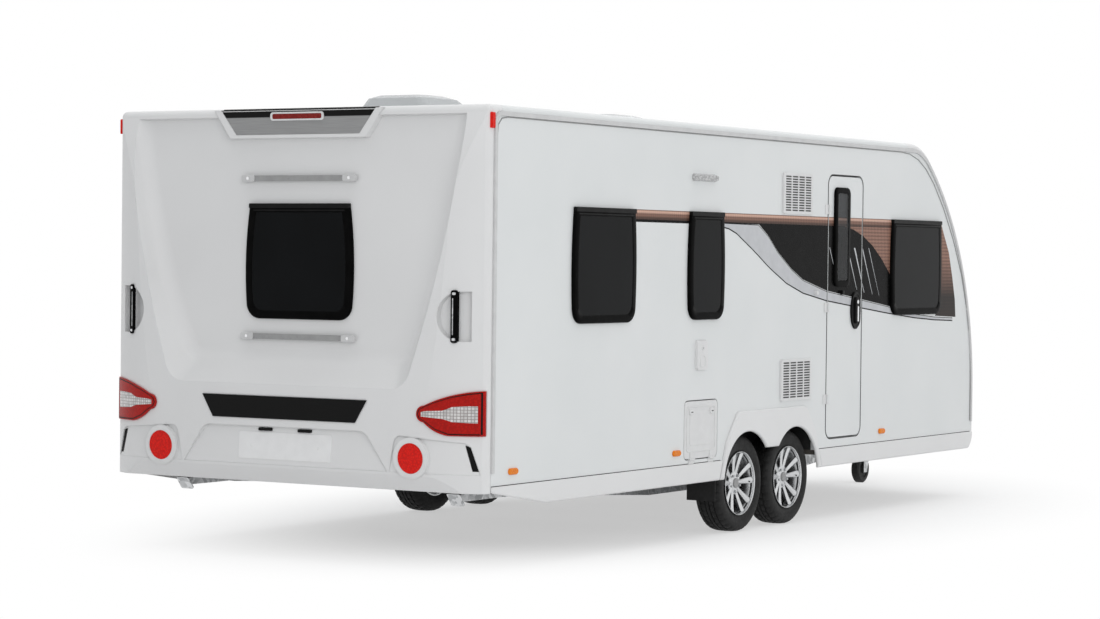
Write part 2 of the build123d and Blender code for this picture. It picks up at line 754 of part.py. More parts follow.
LOCKER_HINGES = (-560.0, 0.0, 560.0)
LOCKER_EDGE_Z = LOCKER_TOP + DOOR_GAP / 2
LOCKER_LEAN = asin((LOCKER_EDGE_Z - NOSE_FOOT) / (NOSE_RADIUS + ROOF))
LOCKER_OUT = Vector(cos(LOCKER_LEAN), 0, sin(LOCKER_LEAN))
LOCKER_UP = Vector(-sin(LOCKER_LEAN), 0, cos(LOCKER_LEAN))
LOCKER_AXIS = Vector(nose_x(LOCKER_EDGE_Z, ROOF), 0, LOCKER_EDGE_Z) + LOCKER_OUT * HINGE_STANDOFF
LEAF_SINK = 2.0

locker_skin = nose_sheet(0, ROOF)
with BuildPart() as locker_lid:
    with BuildSketch(across(FRONT_JOINT)):
        locker_face()
    extrude(amount=NOSE_DEPTH)
    add(locker_skin, mode=Mode.INTERSECT)
    for y in LOCKER_HINGES:
        moving_leaf(LOCKER_AXIS + Vector(0, y, 0), -LOCKER_UP, -LOCKER_OUT, LEAF_SINK)
save(locker_lid, "locker_lid")

# Windows fixed in their cuts
with BuildPart() as side_windows:
    for plane in (along(-HALF), along(HALF + WINDOW_PROUD)):
        with BuildSketch(plane):
            wall_windows(0)
        extrude(amount=WINDOW_PROUD)
    chamfer(edges_out_at(side_windows, HALF + WINDOW_PROUD), WINDOW_EDGE)
save(side_windows, "side_windows")

with BuildPart() as rear_window:
    with BuildSketch(across(FIELD_STATION - WINDOW_PROUD)):
        window_face(*REAR_WINDOW)
    extrude(amount=WINDOW_PROUD)
    chamfer(rear_window.faces().sort_by(Axis.X)[0].edges(), WINDOW_EDGE)
save(rear_window, "rear_window")

# Lamps, reflectors and dark trim let into the rear moulding
with BuildPart() as rear_lamps:
    add(inlay(both_lamps, LAMP_PROUD - 1, LAMP_DEPTH))
    add(inlay(both_reflectors, LAMP_PROUD - 4, STRIP_DEPTH))
save(rear_lamps, "rear_lamps")

with BuildPart() as rear_trim:
    add(inlay(name_strip, STRIP_PROUD, STRIP_DEPTH))
    add(fading_recess(both_vents, END_RECESS, STRIP_DEPTH))
    add(fading_recess(both_vents, END_RECESS, 1), mode=Mode.SUBTRACT)
    with BuildSketch(across(SPOILER_BACK + 2)):
        insert_face(1)
    extrude(amount=INSERT["depth"] - 2)
    with BuildSketch(across(SPOILER_BACK + 2)):
        with Locations((0, (BRAKE_LAMP["low"] + BRAKE_LAMP["high"]) / 2)):
            Rectangle(BRAKE_LAMP["width"] + 2, BRAKE_LAMP["high"] - BRAKE_LAMP["low"] + 2)
    extrude(amount=INSERT["depth"] - 4, mode=Mode.SUBTRACT)
save(rear_trim, "rear_trim")

MARKER = {"rear": 2.0, "front": 27.0, "low": 2300.0, "high": 2382.0, "proud": 9.0}
with BuildPart() as red_markers:
    for side in SIDES:
        with BuildSketch(across(MARKER["rear"])):
            with Locations((side * HALF, (MARKER["low"] + MARKER["high"]) / 2)):
                RectangleRounded(2 * MARKER["proud"], MARKER["high"] - MARKER["low"], 6)
        extrude(amount=MARKER["front"] - MARKER["rear"])
    add(body_block(), mode=Mode.SUBTRACT)
    with BuildSketch(across(SPOILER_BACK)):
        with Locations((0, (BRAKE_LAMP["low"] + BRAKE_LAMP["high"]) / 2)):
            RectangleRounded(BRAKE_LAMP["width"], BRAKE_LAMP["high"] - BRAKE_LAMP["low"], 10)
    extrude(amount=INSERT["depth"] - 2)
save(red_markers, "red_markers")

# Rear grab handles over their recesses, and the two rails of the cycle rack
with BuildPart() as grab_handles:
    add(inlay(both_grab_bars, GRAB["proud"], STRIP_DEPTH))
save(grab_handles, "grab_handles")

RACK_RAILS = (2048.0, 1195.0)
RACK_HALF = 375.0
RACK_STANDOFF = 26.0
with BuildPart() as rack_rails:
    for z in RACK_RAILS:
        with BuildSketch(across(FIELD_STATION - RACK_STANDOFF)):
            with Locations((0, z)):
                SlotOverall(2 * RACK_HALF, 30)
        extrude(amount=14)
        with BuildSketch(across(FIELD_STATION - RACK_STANDOFF + 14)):
            with Locations((RACK_HALF - 40, z), (40 - RACK_HALF, z)):
                Circle(13)
        extrude(amount=RACK_STANDOFF - 14)
save(rack_rails, "rack_rails")

# Awning rails over the joint between each wall and the mouldings
RAIL_BAND = 24.0
RAIL_PROUD = 9.0
RAIL_FOOT = 520.0
with BuildPart() as awning_rails:
    for plane in (along(-HALF), along(HALF + RAIL_PROUD)):
        with BuildSketch(plane):
            cabin_side()
            offset(amount=-RAIL_BAND, mode=Mode.SUBTRACT)
            with Locations((at(BODY_FRONT / 2), RAIL_FOOT)):
                Rectangle(2 * BODY_FRONT, 2 * RAIL_FOOT, align=(Align.CENTER, Align.MAX), mode=Mode.SUBTRACT)
        extrude(amount=RAIL_PROUD)
save(awning_rails, "awning_rails")

# Wheel spats: a low trapezium with one arch over each wheel and a tooth between them
SPAT_PROUD = 18.0
SPAT_EDGE = 7.0
SKIRT_BOTTOM = 335.0
TOOTH = 498.0


def spat_face():
    middle = wheel_middle()
    with BuildLine() as line:
        FilletPolyline(
            (middle - 676, SKIRT_BOTTOM), (middle - 595, 556), (middle - 455, SPAT_TOP),
            (middle + 455, SPAT_TOP), (middle + 595, 556), (middle + 676, SKIRT_BOTTOM), radius=60,
        )
        Line((middle + 676, SKIRT_BOTTOM), (middle - 676, SKIRT_BOTTOM))
    make_face(line.edges())
    with Locations((at(REAR_WHEEL), TYRE_RADIUS), (at(FRONT_WHEEL), TYRE_RADIUS)):
        Circle(ARCH_RADIUS, mode=Mode.SUBTRACT)
    with Locations((middle, TOOTH)):
        Rectangle(WHEEL_GAP, 2 * TOOTH, align=(Align.CENTER, Align.MAX), mode=Mode.SUBTRACT)


with BuildPart() as wheel_spats:
    for plane in (along(-HALF), along(HALF + SPAT_PROUD)):
        with BuildSketch(plane):
            spat_face()
        extrude(amount=SPAT_PROUD)
    chamfer(edges_out_at(wheel_spats, HALF + SPAT_PROUD), SPAT_EDGE)
save(wheel_spats, "wheel_spats")

# Side skirts below the walls, behind and ahead of the spats
SKIRT_TOP = 449.0
SKIRT_PROUD = 12.0
SKIRT_EDGE = 5.0


def skirt_faces():
    middle, slot = wheel_middle(), 8
    spat_low, spat_high = middle - 676, middle - 634
    face_of(
        (at(WALL_REAR), SKIRT_TOP), (at(WALL_REAR), 418), (at(560), SKIRT_BOTTOM),
        (spat_low - slot, SKIRT_BOTTOM), (spat_high - slot, SKIRT_TOP),
    )
    spat_low, spat_high = middle + 676, middle + 634
    front = at(BODY_FRONT)
    with BuildLine() as line:
        Line((spat_high + slot, SKIRT_TOP), (spat_low + slot, SKIRT_BOTTOM))
        Line((spat_low + slot, SKIRT_BOTTOM), (front - 70, SKIRT_BOTTOM))
        ThreePointArc((front - 70, SKIRT_BOTTOM), (front - 22, 373), (front, SKIRT_TOP))
        Line((front, SKIRT_TOP), (spat_high + slot, SKIRT_TOP))
    make_face(line.edges())


with BuildPart() as side_skirts:
    for plane in (along(-HALF), along(HALF + SKIRT_PROUD)):
        with BuildSketch(plane):
            skirt_faces()
        extrude(amount=SKIRT_PROUD)
    chamfer(edges_out_at(side_skirts, HALF + SKIRT_PROUD), SKIRT_EDGE)
save(side_skirts, "side_skirts")

# Side fittings
# Columns: middle station, middle height, width, height
FRIDGE_VENTS = ((3516.0, 2048.0, 403.0, 253.0), (3520.0, 898.0, 420.0, 257.0))
VENT_PROUD = 12.0
VENT_ROWS = 14
VENT_COLUMNS = 4
with BuildPart() as fridge_vents:
    for station, z, width, height in FRIDGE_VENTS:
        with BuildSketch(along(-HALF)):
            with Locations((at(station), z)):
                RectangleRounded(width, height, 14)
        extrude(amount=VENT_PROUD)
        with BuildSketch(along(-HALF - VENT_PROUD)):
            with Locations((at(station), z)):
                with GridLocations(
                    (width - 40) / VENT_COLUMNS, (height - 30) / VENT_ROWS, VENT_COLUMNS, VENT_ROWS
                ):
                    Rectangle((width - 40) / VENT_COLUMNS - 14, (height - 30) / VENT_ROWS - 7)
        extrude(amount=5 - VENT_PROUD, mode=Mode.SUBTRACT)
save(fridge_vents, "fridge_vents")

AWNING_LAMP = {"station": 2304.0, "z": 2111.0, "width": 289.0, "height": 44.0, "proud": 26.0}
with BuildPart() as awning_lamp:
    with BuildSketch(along(-HALF)):
        with Locations((at(AWNING_LAMP["station"]), AWNING_LAMP["z"])):
            RectangleRounded(AWNING_LAMP["width"], AWNING_LAMP["height"], 18)
    extrude(amount=AWNING_LAMP["proud"], taper=18)
save(awning_lamp, "awning_lamp")

SERVICE_FLAP = {"station": 2285.0, "z": 1078.0, "width": 132.0, "height": 178.0, "proud": 16.0}
with BuildPart() as service_flap:
    with BuildSketch(along(-HALF)):
        with Locations((at(SERVICE_FLAP["station"]), SERVICE_FLAP["z"])):
            RectangleRounded(SERVICE_FLAP["width"], SERVICE_FLAP["height"], 22)
    extrude(amount=SERVICE_FLAP["proud"], taper=12)
save(service_flap, "service_flap")

AMBER_STATIONS = (241.0, 2005.0, 4793.0)
AMBER = {"z": 520.0, "width": 90.0, "height": 34.0, "proud": 12.0, "edge": 5.0}
with BuildPart() as amber_markers:
    for plane in (along(-HALF), along(HALF + AMBER["proud"])):
        with BuildSketch(plane):
            for station in AMBER_STATIONS:
                with Locations((at(station), AMBER["z"])):
                    SlotOverall(AMBER["width"], AMBER["height"])
        extrude(amount=AMBER["proud"])
    chamfer(edges_out_at(amber_markers, HALF + AMBER["proud"]), AMBER["edge"])
save(amber_markers, "amber_markers")

# Entry door on knuckle hinges at its rear edge
DOOR_AXIS_X = at(DOOR_REAR) - DOOR_GAP / 2
DOOR_AXIS_Y = -HALF - HINGE_STANDOFF
DOOR_HINGES = (760.0, 1340.0, 1960.0)
CATCH = {"radius": 14.0, "proud": 20.0, "z": 1434.0, "door": 4159.0, "wall": 3784.0}
FORWARDS, UP, INWARDS = Vector(1, 0, 0), Vector(0, 0, 1), Vector(0, 1, 0)


def door_hinge(z):
    return Vector(DOOR_AXIS_X, DOOR_AXIS_Y, z)


with BuildPart() as door_panel:
    with BuildSketch(along(WALL - HALF)):
        door_face()
    extrude(amount=WALL)
    with BuildSketch(along(WALL - HALF)):
        door_window_face(WINDOW_LAP / 2)
    extrude(amount=WALL, mode=Mode.SUBTRACT)
    for z in DOOR_HINGES:
        moving_leaf(door_hinge(z), FORWARDS, INWARDS)
save(door_panel, "door_panel")

DOOR_PANE = 16.0
with BuildPart() as door_window:
    with BuildSketch(along(-HALF)):
        door_window_face()
    extrude(amount=DOOR_PANE)
    chamfer(edges_out_at(door_window, HALF + DOOR_PANE), WINDOW_EDGE)
save(door_window, "door_window")

HANDLE = {"station": 4367.0, "z": 1318.0, "width": 140.0, "height": 240.0, "plate": 9.0, "proud": 24.0, "edge": 6.0}
with BuildPart() as door_fittings:
    with BuildSketch(along(-HALF)):
        with Locations((at(HANDLE["station"]), HANDLE["z"])):
            Ellipse(HANDLE["width"] / 2, HANDLE["height"] / 2)
    extrude(amount=HANDLE["plate"])
    with BuildSketch(along(-HALF - HANDLE["plate"])):
        with Locations((at(HANDLE["station"]), HANDLE["z"])):
            SlotOverall(0.72 * HANDLE["height"], 0.42 * HANDLE["width"], rotation=90)
    extrude(amount=HANDLE["proud"] - HANDLE["plate"])
    chamfer(edges_out_at(door_fittings, HALF + HANDLE["proud"]), HANDLE["edge"])
    with BuildSketch(along(-HALF)):
        with Locations((at(CATCH["door"]), CATCH["z"])):
            Circle(CATCH["radius"])
    extrude(amount=CATCH["proud"])
save(door_fittings, "door_fittings")

with BuildPart() as door_hardware:
    for z in DOOR_HINGES:
        fixed_leaf(door_hinge(z), -FORWARDS, INWARDS)
    with BuildSketch(along(-HALF)):
        with Locations((at(CATCH["wall"]), CATCH["z"])):
            Circle(CATCH["radius"])
    extrude(amount=CATCH["proud"])
save(door_hardware, "door_hardware")

# Service hatch, hinged along its lower edge, and the fixed hinge halves of hatch and locker
HATCH_AXIS_Z = HATCH_BOTTOM - DOOR_GAP / 2
HATCH_AXIS_Y = -HALF - HINGE_STANDOFF
HATCH_HINGES = (2180.0, 2420.0)


def hatch_hinge(station):
    return Vector(at(station), HATCH_AXIS_Y, HATCH_AXIS_Z)


with BuildPart() as cassette_hatch:
    with BuildSketch(along(WALL - HALF)):
        hatch_face()
    extrude(amount=WALL)
    for station in HATCH_HINGES:
        moving_leaf(hatch_hinge(station), UP, INWARDS)
save(cassette_hatch, "cassette_hatch")

with BuildPart() as hatch_hinges:
    for station in HATCH_HINGES:
        fixed_leaf(hatch_hinge(station), -UP, INWARDS, reach=HATCH_AXIS_Z - SKIRT_TOP - FIT)
    for y in LOCKER_HINGES:
        fixed_leaf(LOCKER_AXIS + Vector(0, y, 0), LOCKER_UP, -LOCKER_OUT, LEAF_SINK)
    add(front_panel.part, mode=Mode.SUBTRACT)
save(hatch_hinges, "hatch_hinges")

# Chassis rails: shallow at the ends, deep at the axles, with lightening holes
RAIL_REAR = 420.0
RAIL_FRONT = 5450.0
RAIL_DEEP = 225.0
RAIL_END = 360.0
RAIL_WEB = 5.0
RAIL_FLANGE = 45.0
LIGHTENING = ((1500.0, 34.0), (1900.0, 45.0), (2300.0, 52.0), (4100.0, 52.0), (4500.0, 40.0), (4900.0, 30.0))


def rail_face(inset=0.0):
    face_of(
        (at(RAIL_REAR), FLOOR_BOTTOM - inset), (at(RAIL_REAR), RAIL_END + inset),
        (at(REAR_WHEEL - 400), RAIL_DEEP + inset), (at(FRONT_WHEEL + 420), RAIL_DEEP + inset),
        (at(RAIL_FRONT), RAIL_END + inset), (at(RAIL_FRONT), FLOOR_BOTTOM - inset),
    )


def axle_station(wheel):
    return wheel + AXLE_LEAD


for name, side in (("chassis_rail_left", 1), ("chassis_rail_right", -1)):
    outer = side * RAIL_Y
    with BuildPart() as rail:
        with BuildSketch(along(outer)):
            rail_face()
        extrude(amount=side * RAIL_FLANGE)
        with BuildSketch(along(outer - side * RAIL_WEB)):
            rail_face(RAIL_WEB)
        extrude(amount=side * RAIL_FLANGE, mode=Mode.SUBTRACT)
        with BuildSketch(along(outer)):
            for station, radius in LIGHTENING:
                with Locations((at(station), 335)):
                    Circle(radius)
            for wheel in (REAR_WHEEL, FRONT_WHEEL):
                with Locations((at(axle_station(wheel)), AXLE_HEIGHT)):
                    Circle(AXLE_TUBE + FIT)
        extrude(amount=side * RAIL_FLANGE, mode=Mode.SUBTRACT)
    save(rail, name)

CROSS_STATIONS = (900.0, 2000.0, 4350.0, 5350.0)
with BuildPart() as cross_members:
    with BuildSketch(Plane.XY.offset(FLOOR_BOTTOM)):
        for station in CROSS_STATIONS:
            with Locations((at(station), 0)):
                Rectangle(50, 2 * (RAIL_Y - RAIL_FLANGE))
    extrude(amount=-45)
save(cross_members, "cross_members")

# Torsion axles: a tube across the rails, a trailing arm, back plate and stub at each end
ARM_INNER = WHEEL_Y - TYRE_WIDTH / 2 - 90
ARM = 24.0
DRUM_RADIUS = 112.0
STUB_END = WHEEL_Y + 20
with BuildPart() as axles:
    for wheel in (REAR_WHEEL, FRONT_WHEEL):
        tube_x, hub_x = at(axle_station(wheel)), at(wheel)
        with BuildSketch(along(ARM_INNER)):
            with Locations((tube_x, AXLE_HEIGHT)):
                Circle(AXLE_TUBE)
        extrude(amount=2 * ARM_INNER)
        for side in SIDES:
            with BuildSketch(along(side * ARM_INNER)):
                with Locations((tube_x, AXLE_HEIGHT)):
                    Circle(AXLE_TUBE + 8)
                with Locations((hub_x, TYRE_RADIUS)):
                    Circle(46)
                make_hull()
            extrude(amount=-side * ARM)
            with BuildSketch(along(side * (ARM_INNER + ARM))):
                with Locations((hub_x, TYRE_RADIUS)):
                    Circle(DRUM_RADIUS)
            extrude(amount=-side * 8)
            with BuildSketch(along(side * (ARM_INNER + ARM))):
                with Locations((hub_x, TYRE_RADIUS)):
                    Circle(STUB)
            extrude(amount=-side * (STUB_END - ARM_INNER - ARM))
save(axles, "axles")

# Mud flaps behind the rear wheels
FLAP = {"station": 2545.0, "width": 190.0, "low": 205.0, "thick": 6.0}
with BuildPart() as mud_flaps:
    with BuildSketch(Plane.XY.offset(FLOOR_BOTTOM)):
        for side in SIDES:
            with Locations((at(FLAP["station"]), side * WHEEL_Y)):
                Rectangle(FLAP["thick"], FLAP["width"])
    extrude(amount=FLAP["low"] - FLOOR_BOTTOM)
save(mud_flaps, "mud_flaps")

# Road wheels
# Columns of the tyre section: distance from the wheel's middle plane, radius
TYRE_SECTION = (
    (-66, RIM_RADIUS + FIT), (-72, 200), (-TYRE_WIDTH / 2, 240), (-72, 284),
    (-48, TYRE_RADIUS), (48, TYRE_RADIUS), (72, 284), (TYRE_WIDTH / 2, 240), (72, 200),
    (66, RIM_RADIUS + FIT),
)
SPOKE_PAIRS = 5
SPOKE_DEPTH = 30.0
# Columns of half a pair of spokes, from hub to rim: radius, angle of the inner flank, angle of the outer flank
SPOKE_FLANKS = ((30.0, -8.0, 60.0), (78.0, 4.5, 24.0), (170.0, 10.0, 20.5))
DISH = 14.0
HUB_RADIUS = 58.0
RIM_WELL = 165.0
RIM_FACE = 66.0


def spin_plane(wheel, side):
    """Half-section plane of a wheel: local x runs outwards along the axle, local y upwards."""
    return Plane(origin=(at(wheel), side * WHEEL_Y, TYRE_RADIUS), x_dir=(0, side, 0), z_dir=(side, 0, 0))


def spoke_points(lean):
    """Outline of one spoke of a pair, leaning to one side of the pair's middle line."""
    inner = [(radius, radians(lean * flank)) for radius, flank, _ in SPOKE_FLANKS]
    outer = [(radius, radians(lean * flank)) for radius, _, flank in reversed(SPOKE_FLANKS)]
    return [(radius * cos(angle), radius * sin(angle)) for radius, angle in inner + outer]


# Columns: name, station, side
ROAD_WHEELS = (
    ("rear_left", REAR_WHEEL, 1), ("rear_right", REAR_WHEEL, -1),
    ("front_left", FRONT_WHEEL, 1), ("front_right", FRONT_WHEEL, -1),
)
for name, wheel, side in ROAD_WHEELS:
    plane = spin_plane(wheel, side)
    axle = Axis(plane.origin, plane.x_dir)
    with BuildPart() as tyre:
        with BuildSketch(plane):
            face_of(*TYRE_SECTION)
        revolve(axis=axle)
    save(tyre, f"tyre_{name}")

    face_plane = Plane(origin=plane.origin, x_dir=(-side, 0, 0), z_dir=(0, side, 0))
    with BuildPart() as rim:
        with BuildSketch(plane):
            face_of(
                (-76, RIM_RADIUS), (-76, RIM_RADIUS + 14), (-84, RIM_RADIUS + 14), (-84, RIM_WELL),
                (84, RIM_WELL), (84, RIM_RADIUS + 14), (76, RIM_RADIUS + 14), (76, RIM_RADIUS),
            )
        revolve(axis=axle)
        with BuildSketch(face_plane.offset(RIM_FACE - SPOKE_DEPTH)):
            Circle(HUB_RADIUS)
            with PolarLocations(0, SPOKE_PAIRS, start_angle=90):
                for lean in SIDES:
                    face_of(*spoke_points(lean))
        extrude(amount=SPOKE_DEPTH)
        with BuildSketch(plane):
            face_of(
                (RIM_FACE + 1, 0), (RIM_FACE - DISH, 0), (RIM_FACE - DISH, HUB_RADIUS),
                (RIM_FACE, RIM_WELL), (RIM_FACE + 1, RIM_WELL),
            )
        revolve(axis=axle, mode=Mode.SUBTRACT)
        with BuildSketch(face_plane.offset(ARM_INNER + ARM + 14 - WHEEL_Y)):
            Circle(DRUM_RADIUS)
        extrude(amount=RIM_FACE - SPOKE_DEPTH - (ARM_INNER + ARM + 14 - WHEEL_Y) - 30)
        with BuildSketch(face_plane.offset(RIM_FACE - SPOKE_DEPTH - 30)):
            Circle(HUB_RADIUS)
        extrude(amount=30)
        with BuildSketch(face_plane.offset(ARM_INNER + ARM - WHEEL_Y)):
            Circle(STUB + FIT)
        extrude(amount=STUB_END - ARM_INNER - ARM + FIT, mode=Mode.SUBTRACT)
    save(rim, f"rim_{name}")

# Corner steadies, folded up under the floor, each on a pin between two ears
STEADY_OFFSET = 125.0
STEADY_Y = RAIL_Y + STEADY_OFFSET
STEADY_PIVOT_Z = 368.0
STEADY_LENGTH = 434.0
STEADY_WIDTH = 64.0
STEADY_DEPTH = 42.0
STEADY_DROP = 52.0
EAR = 8.0
PIN = 9.0
# Columns: name, pivot station, direction of the leg, side
STEADIES = (
    ("rear_left", 640.0, -1, 1), ("rear_right", 640.0, -1, -1),
    ("front_left", 5560.0, 1, 1), ("front_right", 5560.0, 1, -1),
)
with BuildPart() as steady_brackets:
    for name, pivot, way, side in STEADIES:
        y, x = side * STEADY_Y, at(pivot)
        for end in SIDES:
            ear_y = y + end * (STEADY_WIDTH / 2 + FIT + EAR / 2)
            with BuildSketch(along(ear_y + EAR / 2)):
                face_of(
                    (x - 60, FLOOR_BOTTOM), (x + 60, FLOOR_BOTTOM),
                    (x + 24, STEADY_PIVOT_Z - 22), (x - 24, STEADY_PIVOT_Z - 22),
                )
            extrude(amount=EAR)
        with BuildSketch(along(y + STEADY_WIDTH / 2 + FIT)):
            with Locations((x, STEADY_PIVOT_Z)):
                Circle(PIN)
        extrude(amount=STEADY_WIDTH + 2 * FIT)
save(steady_brackets, "steady_brackets")

for name, pivot, way, side in STEADIES:
    y, x = side * STEADY_Y, at(pivot)
    tip = x + way * STEADY_LENGTH
    with BuildPart() as leg:
        with BuildSketch(along(y + STEADY_WIDTH / 2)):
            with Locations((x + way * STEADY_LENGTH / 2, STEADY_PIVOT_Z)):
                SlotOverall(STEADY_LENGTH + STEADY_DEPTH, STEADY_DEPTH)
        extrude(amount=STEADY_WIDTH)
        with BuildSketch(along(y + STEADY_WIDTH / 2 - 6)):
            face_of(
                (x + way * 40, STEADY_PIVOT_Z - STEADY_DEPTH), (x + way * 40, STEADY_PIVOT_Z + 15),
                (tip - way * 20, STEADY_PIVOT_Z + 15), (tip - way * 20, STEADY_PIVOT_Z - STEADY_DEPTH),
            )
        extrude(amount=STEADY_WIDTH - 12, mode=Mode.SUBTRACT)
        with BuildSketch(along(y + STEADY_WIDTH / 2)):
            with Locations((x, STEADY_PIVOT_Z)):
                Circle(PIN + FIT)
        extrude(amount=STEADY_WIDTH, mode=Mode.SUBTRACT)
        foot = Plane(
            origin=(tip, y, STEADY_PIVOT_Z),
            x_dir=(way * cos(radians(STEADY_DROP)), 0, sin(radians(STEADY_DROP))),
            z_dir=(way * sin(radians(STEADY_DROP)), 0, -cos(radians(STEADY_DROP))),
        )
        with BuildSketch(foot.offset(STEADY_DEPTH / 2 - 8)):
            RectangleRounded(84, 84, 10)
        extrude(amount=8)
    save(leg, f"steady_{name}")

# Drawbar: two beams from the rails to the overrun housing
BEAM_REAR = 5400.0
BEAM_FRONT = 6840.0
BEAM_WIDTH = 55.0
HOUSING_HALF = 58.0
HOUSING_LOW = COUPLING_HEIGHT - 95
for name, side in (("drawbar_left", 1), ("drawbar_right", -1)):
    rear_y, front_y = RAIL_Y - RAIL_FLANGE - 1, HOUSING_HALF
    with BuildPart() as beam:
        with BuildSketch(Plane.XY.offset(FLOOR_BOTTOM)):
            face_of(
                (at(BEAM_REAR), side * rear_y), (at(BEAM_FRONT), side * front_y),
                (at(BEAM_FRONT - 150), side * front_y), (at(BEAM_REAR), side * (rear_y - BEAM_WIDTH)),
            )
        extrude(amount=HOUSING_LOW - FLOOR_BOTTOM)
    save(beam, name)

HOUSING_REAR = 6620.0
HOUSING_FRONT = 7270.0
SHAFT = 30.0
BELLOWS_FRONT = 7470.0
with BuildPart() as overrun_housing:
    with BuildSketch(across(HOUSING_REAR)):
        with Locations((0, COUPLING_HEIGHT - 40)):
            RectangleRounded(2 * HOUSING_HALF, 110, 12)
    extrude(amount=HOUSING_FRONT - HOUSING_REAR)
    with BuildSketch(across(HOUSING_FRONT)):
        with Locations((0, COUPLING_HEIGHT)):
            Circle(SHAFT)
    extrude(amount=BELLOWS_FRONT - HOUSING_FRONT)
    for fold in range(5):
        with BuildSketch(across(HOUSING_FRONT + 12 + fold * 32)):
            with Locations((0, COUPLING_HEIGHT)):
                Circle(SHAFT + 12)
        extrude(amount=16)
    with BuildSketch(along(HOUSING_HALF + 22)):
        lever = at(HOUSING_FRONT - 190)
        with BuildLine():
            FilletPolyline(
                (lever - 20, COUPLING_HEIGHT - 20), (lever - 150, COUPLING_HEIGHT + 95),
                (lever - 420, COUPLING_HEIGHT + 125), radius=60,
            )
            Line((lever - 420, COUPLING_HEIGHT + 125), (lever - 420, COUPLING_HEIGHT + 153))
            FilletPolyline(
                (lever - 420, COUPLING_HEIGHT + 153), (lever - 135, COUPLING_HEIGHT + 123),
                (lever + 20, COUPLING_HEIGHT - 20), radius=60,
            )
            Line((lever + 20, COUPLING_HEIGHT - 20), (lever - 20, COUPLING_HEIGHT - 20))
        make_face()
    extrude(amount=18)
    with BuildSketch(along(HOUSING_HALF + 22)):
        with Locations((at(HOUSING_FRONT - 190), COUPLING_HEIGHT - 20)):
            Circle(26)
    extrude(amount=24)
save(overrun_housing, "overrun_housing")

# Coupling head with its ball socket open below and its handle above
SOCKET_STATION = 7680.0
SOCKET_RADIUS = 25.0
SOCKET_DEPTH = 42.0
HEAD_HALF = 52.0
HEAD_LOW = COUPLING_HEIGHT - 34
with BuildPart() as coupling_head:
    with BuildSketch(Plane.XY.offset(HEAD_LOW)):
        with Locations((at(SOCKET_STATION), 0)):
            Circle(COUPLING_TIP - SOCKET_STATION)
        with Locations((at(BELLOWS_FRONT), 0)):
            Rectangle(SOCKET_STATION - BELLOWS_FRONT, 2 * HEAD_HALF, align=(Align.MIN, Align.CENTER))
    extrude(amount=78)
    with BuildSketch(Plane.XY.offset(HEAD_LOW)):
        with Locations((at(SOCKET_STATION), 0)):
            Circle(SOCKET_RADIUS)
    extrude(amount=SOCKET_DEPTH, mode=Mode.SUBTRACT)
    with BuildSketch(along(24)):
        grip = at(BELLOWS_FRONT + 30)
        face_of(
            (grip, HEAD_LOW + 70), (grip + 90, HEAD_LOW + 70), (grip + 40, HEAD_LOW + 150),
            (grip - 120, HEAD_LOW + 178), (grip - 126, HEAD_LOW + 150), (grip + 6, HEAD_LOW + 124),
        )
    extrude(amount=48)
save(coupling_head, "coupling_head")

# Moulded fairing over the drawbar, open below
FAIRING = {"rear": BODY_FRONT + ROOF, "front": 6600.0, "skin": 8.0}


def fairing_section(half_low, half_high, low, high):
    face_of((-half_low, low), (half_low, low), (half_high, high), (-half_high, high))


with BuildPart() as drawbar_fairing:
    with BuildSketch(across(FAIRING["rear"])):
        fairing_section(620, 540, FLOOR_BOTTOM, 580)
    with BuildSketch(across(FAIRING["front"])):
        fairing_section(330, 250, FLOOR_BOTTOM, 520)
    loft(ruled=True)
    skin = FAIRING["skin"]
    with BuildSketch(across(FAIRING["rear"])):
        fairing_section(620 - skin, 540 - skin, FLOOR_BOTTOM, 580 - skin)
    with BuildSketch(across(FAIRING["front"] - skin)):
        fairing_section(330 - skin, 250 - skin, FLOOR_BOTTOM, 520 - skin)
    loft(ruled=True, mode=Mode.SUBTRACT)
save(drawbar_fairing, "drawbar_fairing")

# Jockey wheel: tube clamped to the housing, swivelling fork, wheel
JOCKEY_TUBE = 24.0
JOCKEY_STEM = 19.0
TUBE_LOW = 262.0
TUBE_TOP = 720.0
FORK_HALF = 37.0
FORK_PLATE = 6.0
JOCKEY_WIDTH = 60.0
with BuildPart() as jockey_tube:
    with BuildSketch(Plane.XY.offset(TUBE_LOW)):
        with Locations((at(JOCKEY_STATION), JOCKEY_Y)):
            Circle(JOCKEY_TUBE)
            Circle(JOCKEY_STEM + FIT, mode=Mode.SUBTRACT)
    extrude(amount=TUBE_TOP - TUBE_LOW)
    with BuildSketch(Plane.XY.offset(COUPLING_HEIGHT - 70)):
        with Locations((at(JOCKEY_STATION), (JOCKEY_Y - HOUSING_HALF) / 2)):
            Rectangle(70, -JOCKEY_Y - HOUSING_HALF)
        with Locations((at(JOCKEY_STATION), JOCKEY_Y)):
            Circle(JOCKEY_TUBE + 10)
            Circle(JOCKEY_TUBE - 1, mode=Mode.SUBTRACT)
    extrude(amount=60)
    with BuildSketch(Plane.XY.offset(TUBE_TOP)):
        with Locations((at(JOCKEY_STATION), JOCKEY_Y)):
            Circle(JOCKEY_TUBE + 3)
    extrude(amount=14)
    with BuildSketch(Plane.XY.offset(TUBE_TOP + 14)):
        with Locations((at(JOCKEY_STATION), JOCKEY_Y)):
            Rectangle(26, 120)
    extrude(amount=10)
save(jockey_tube, "jockey_tube")

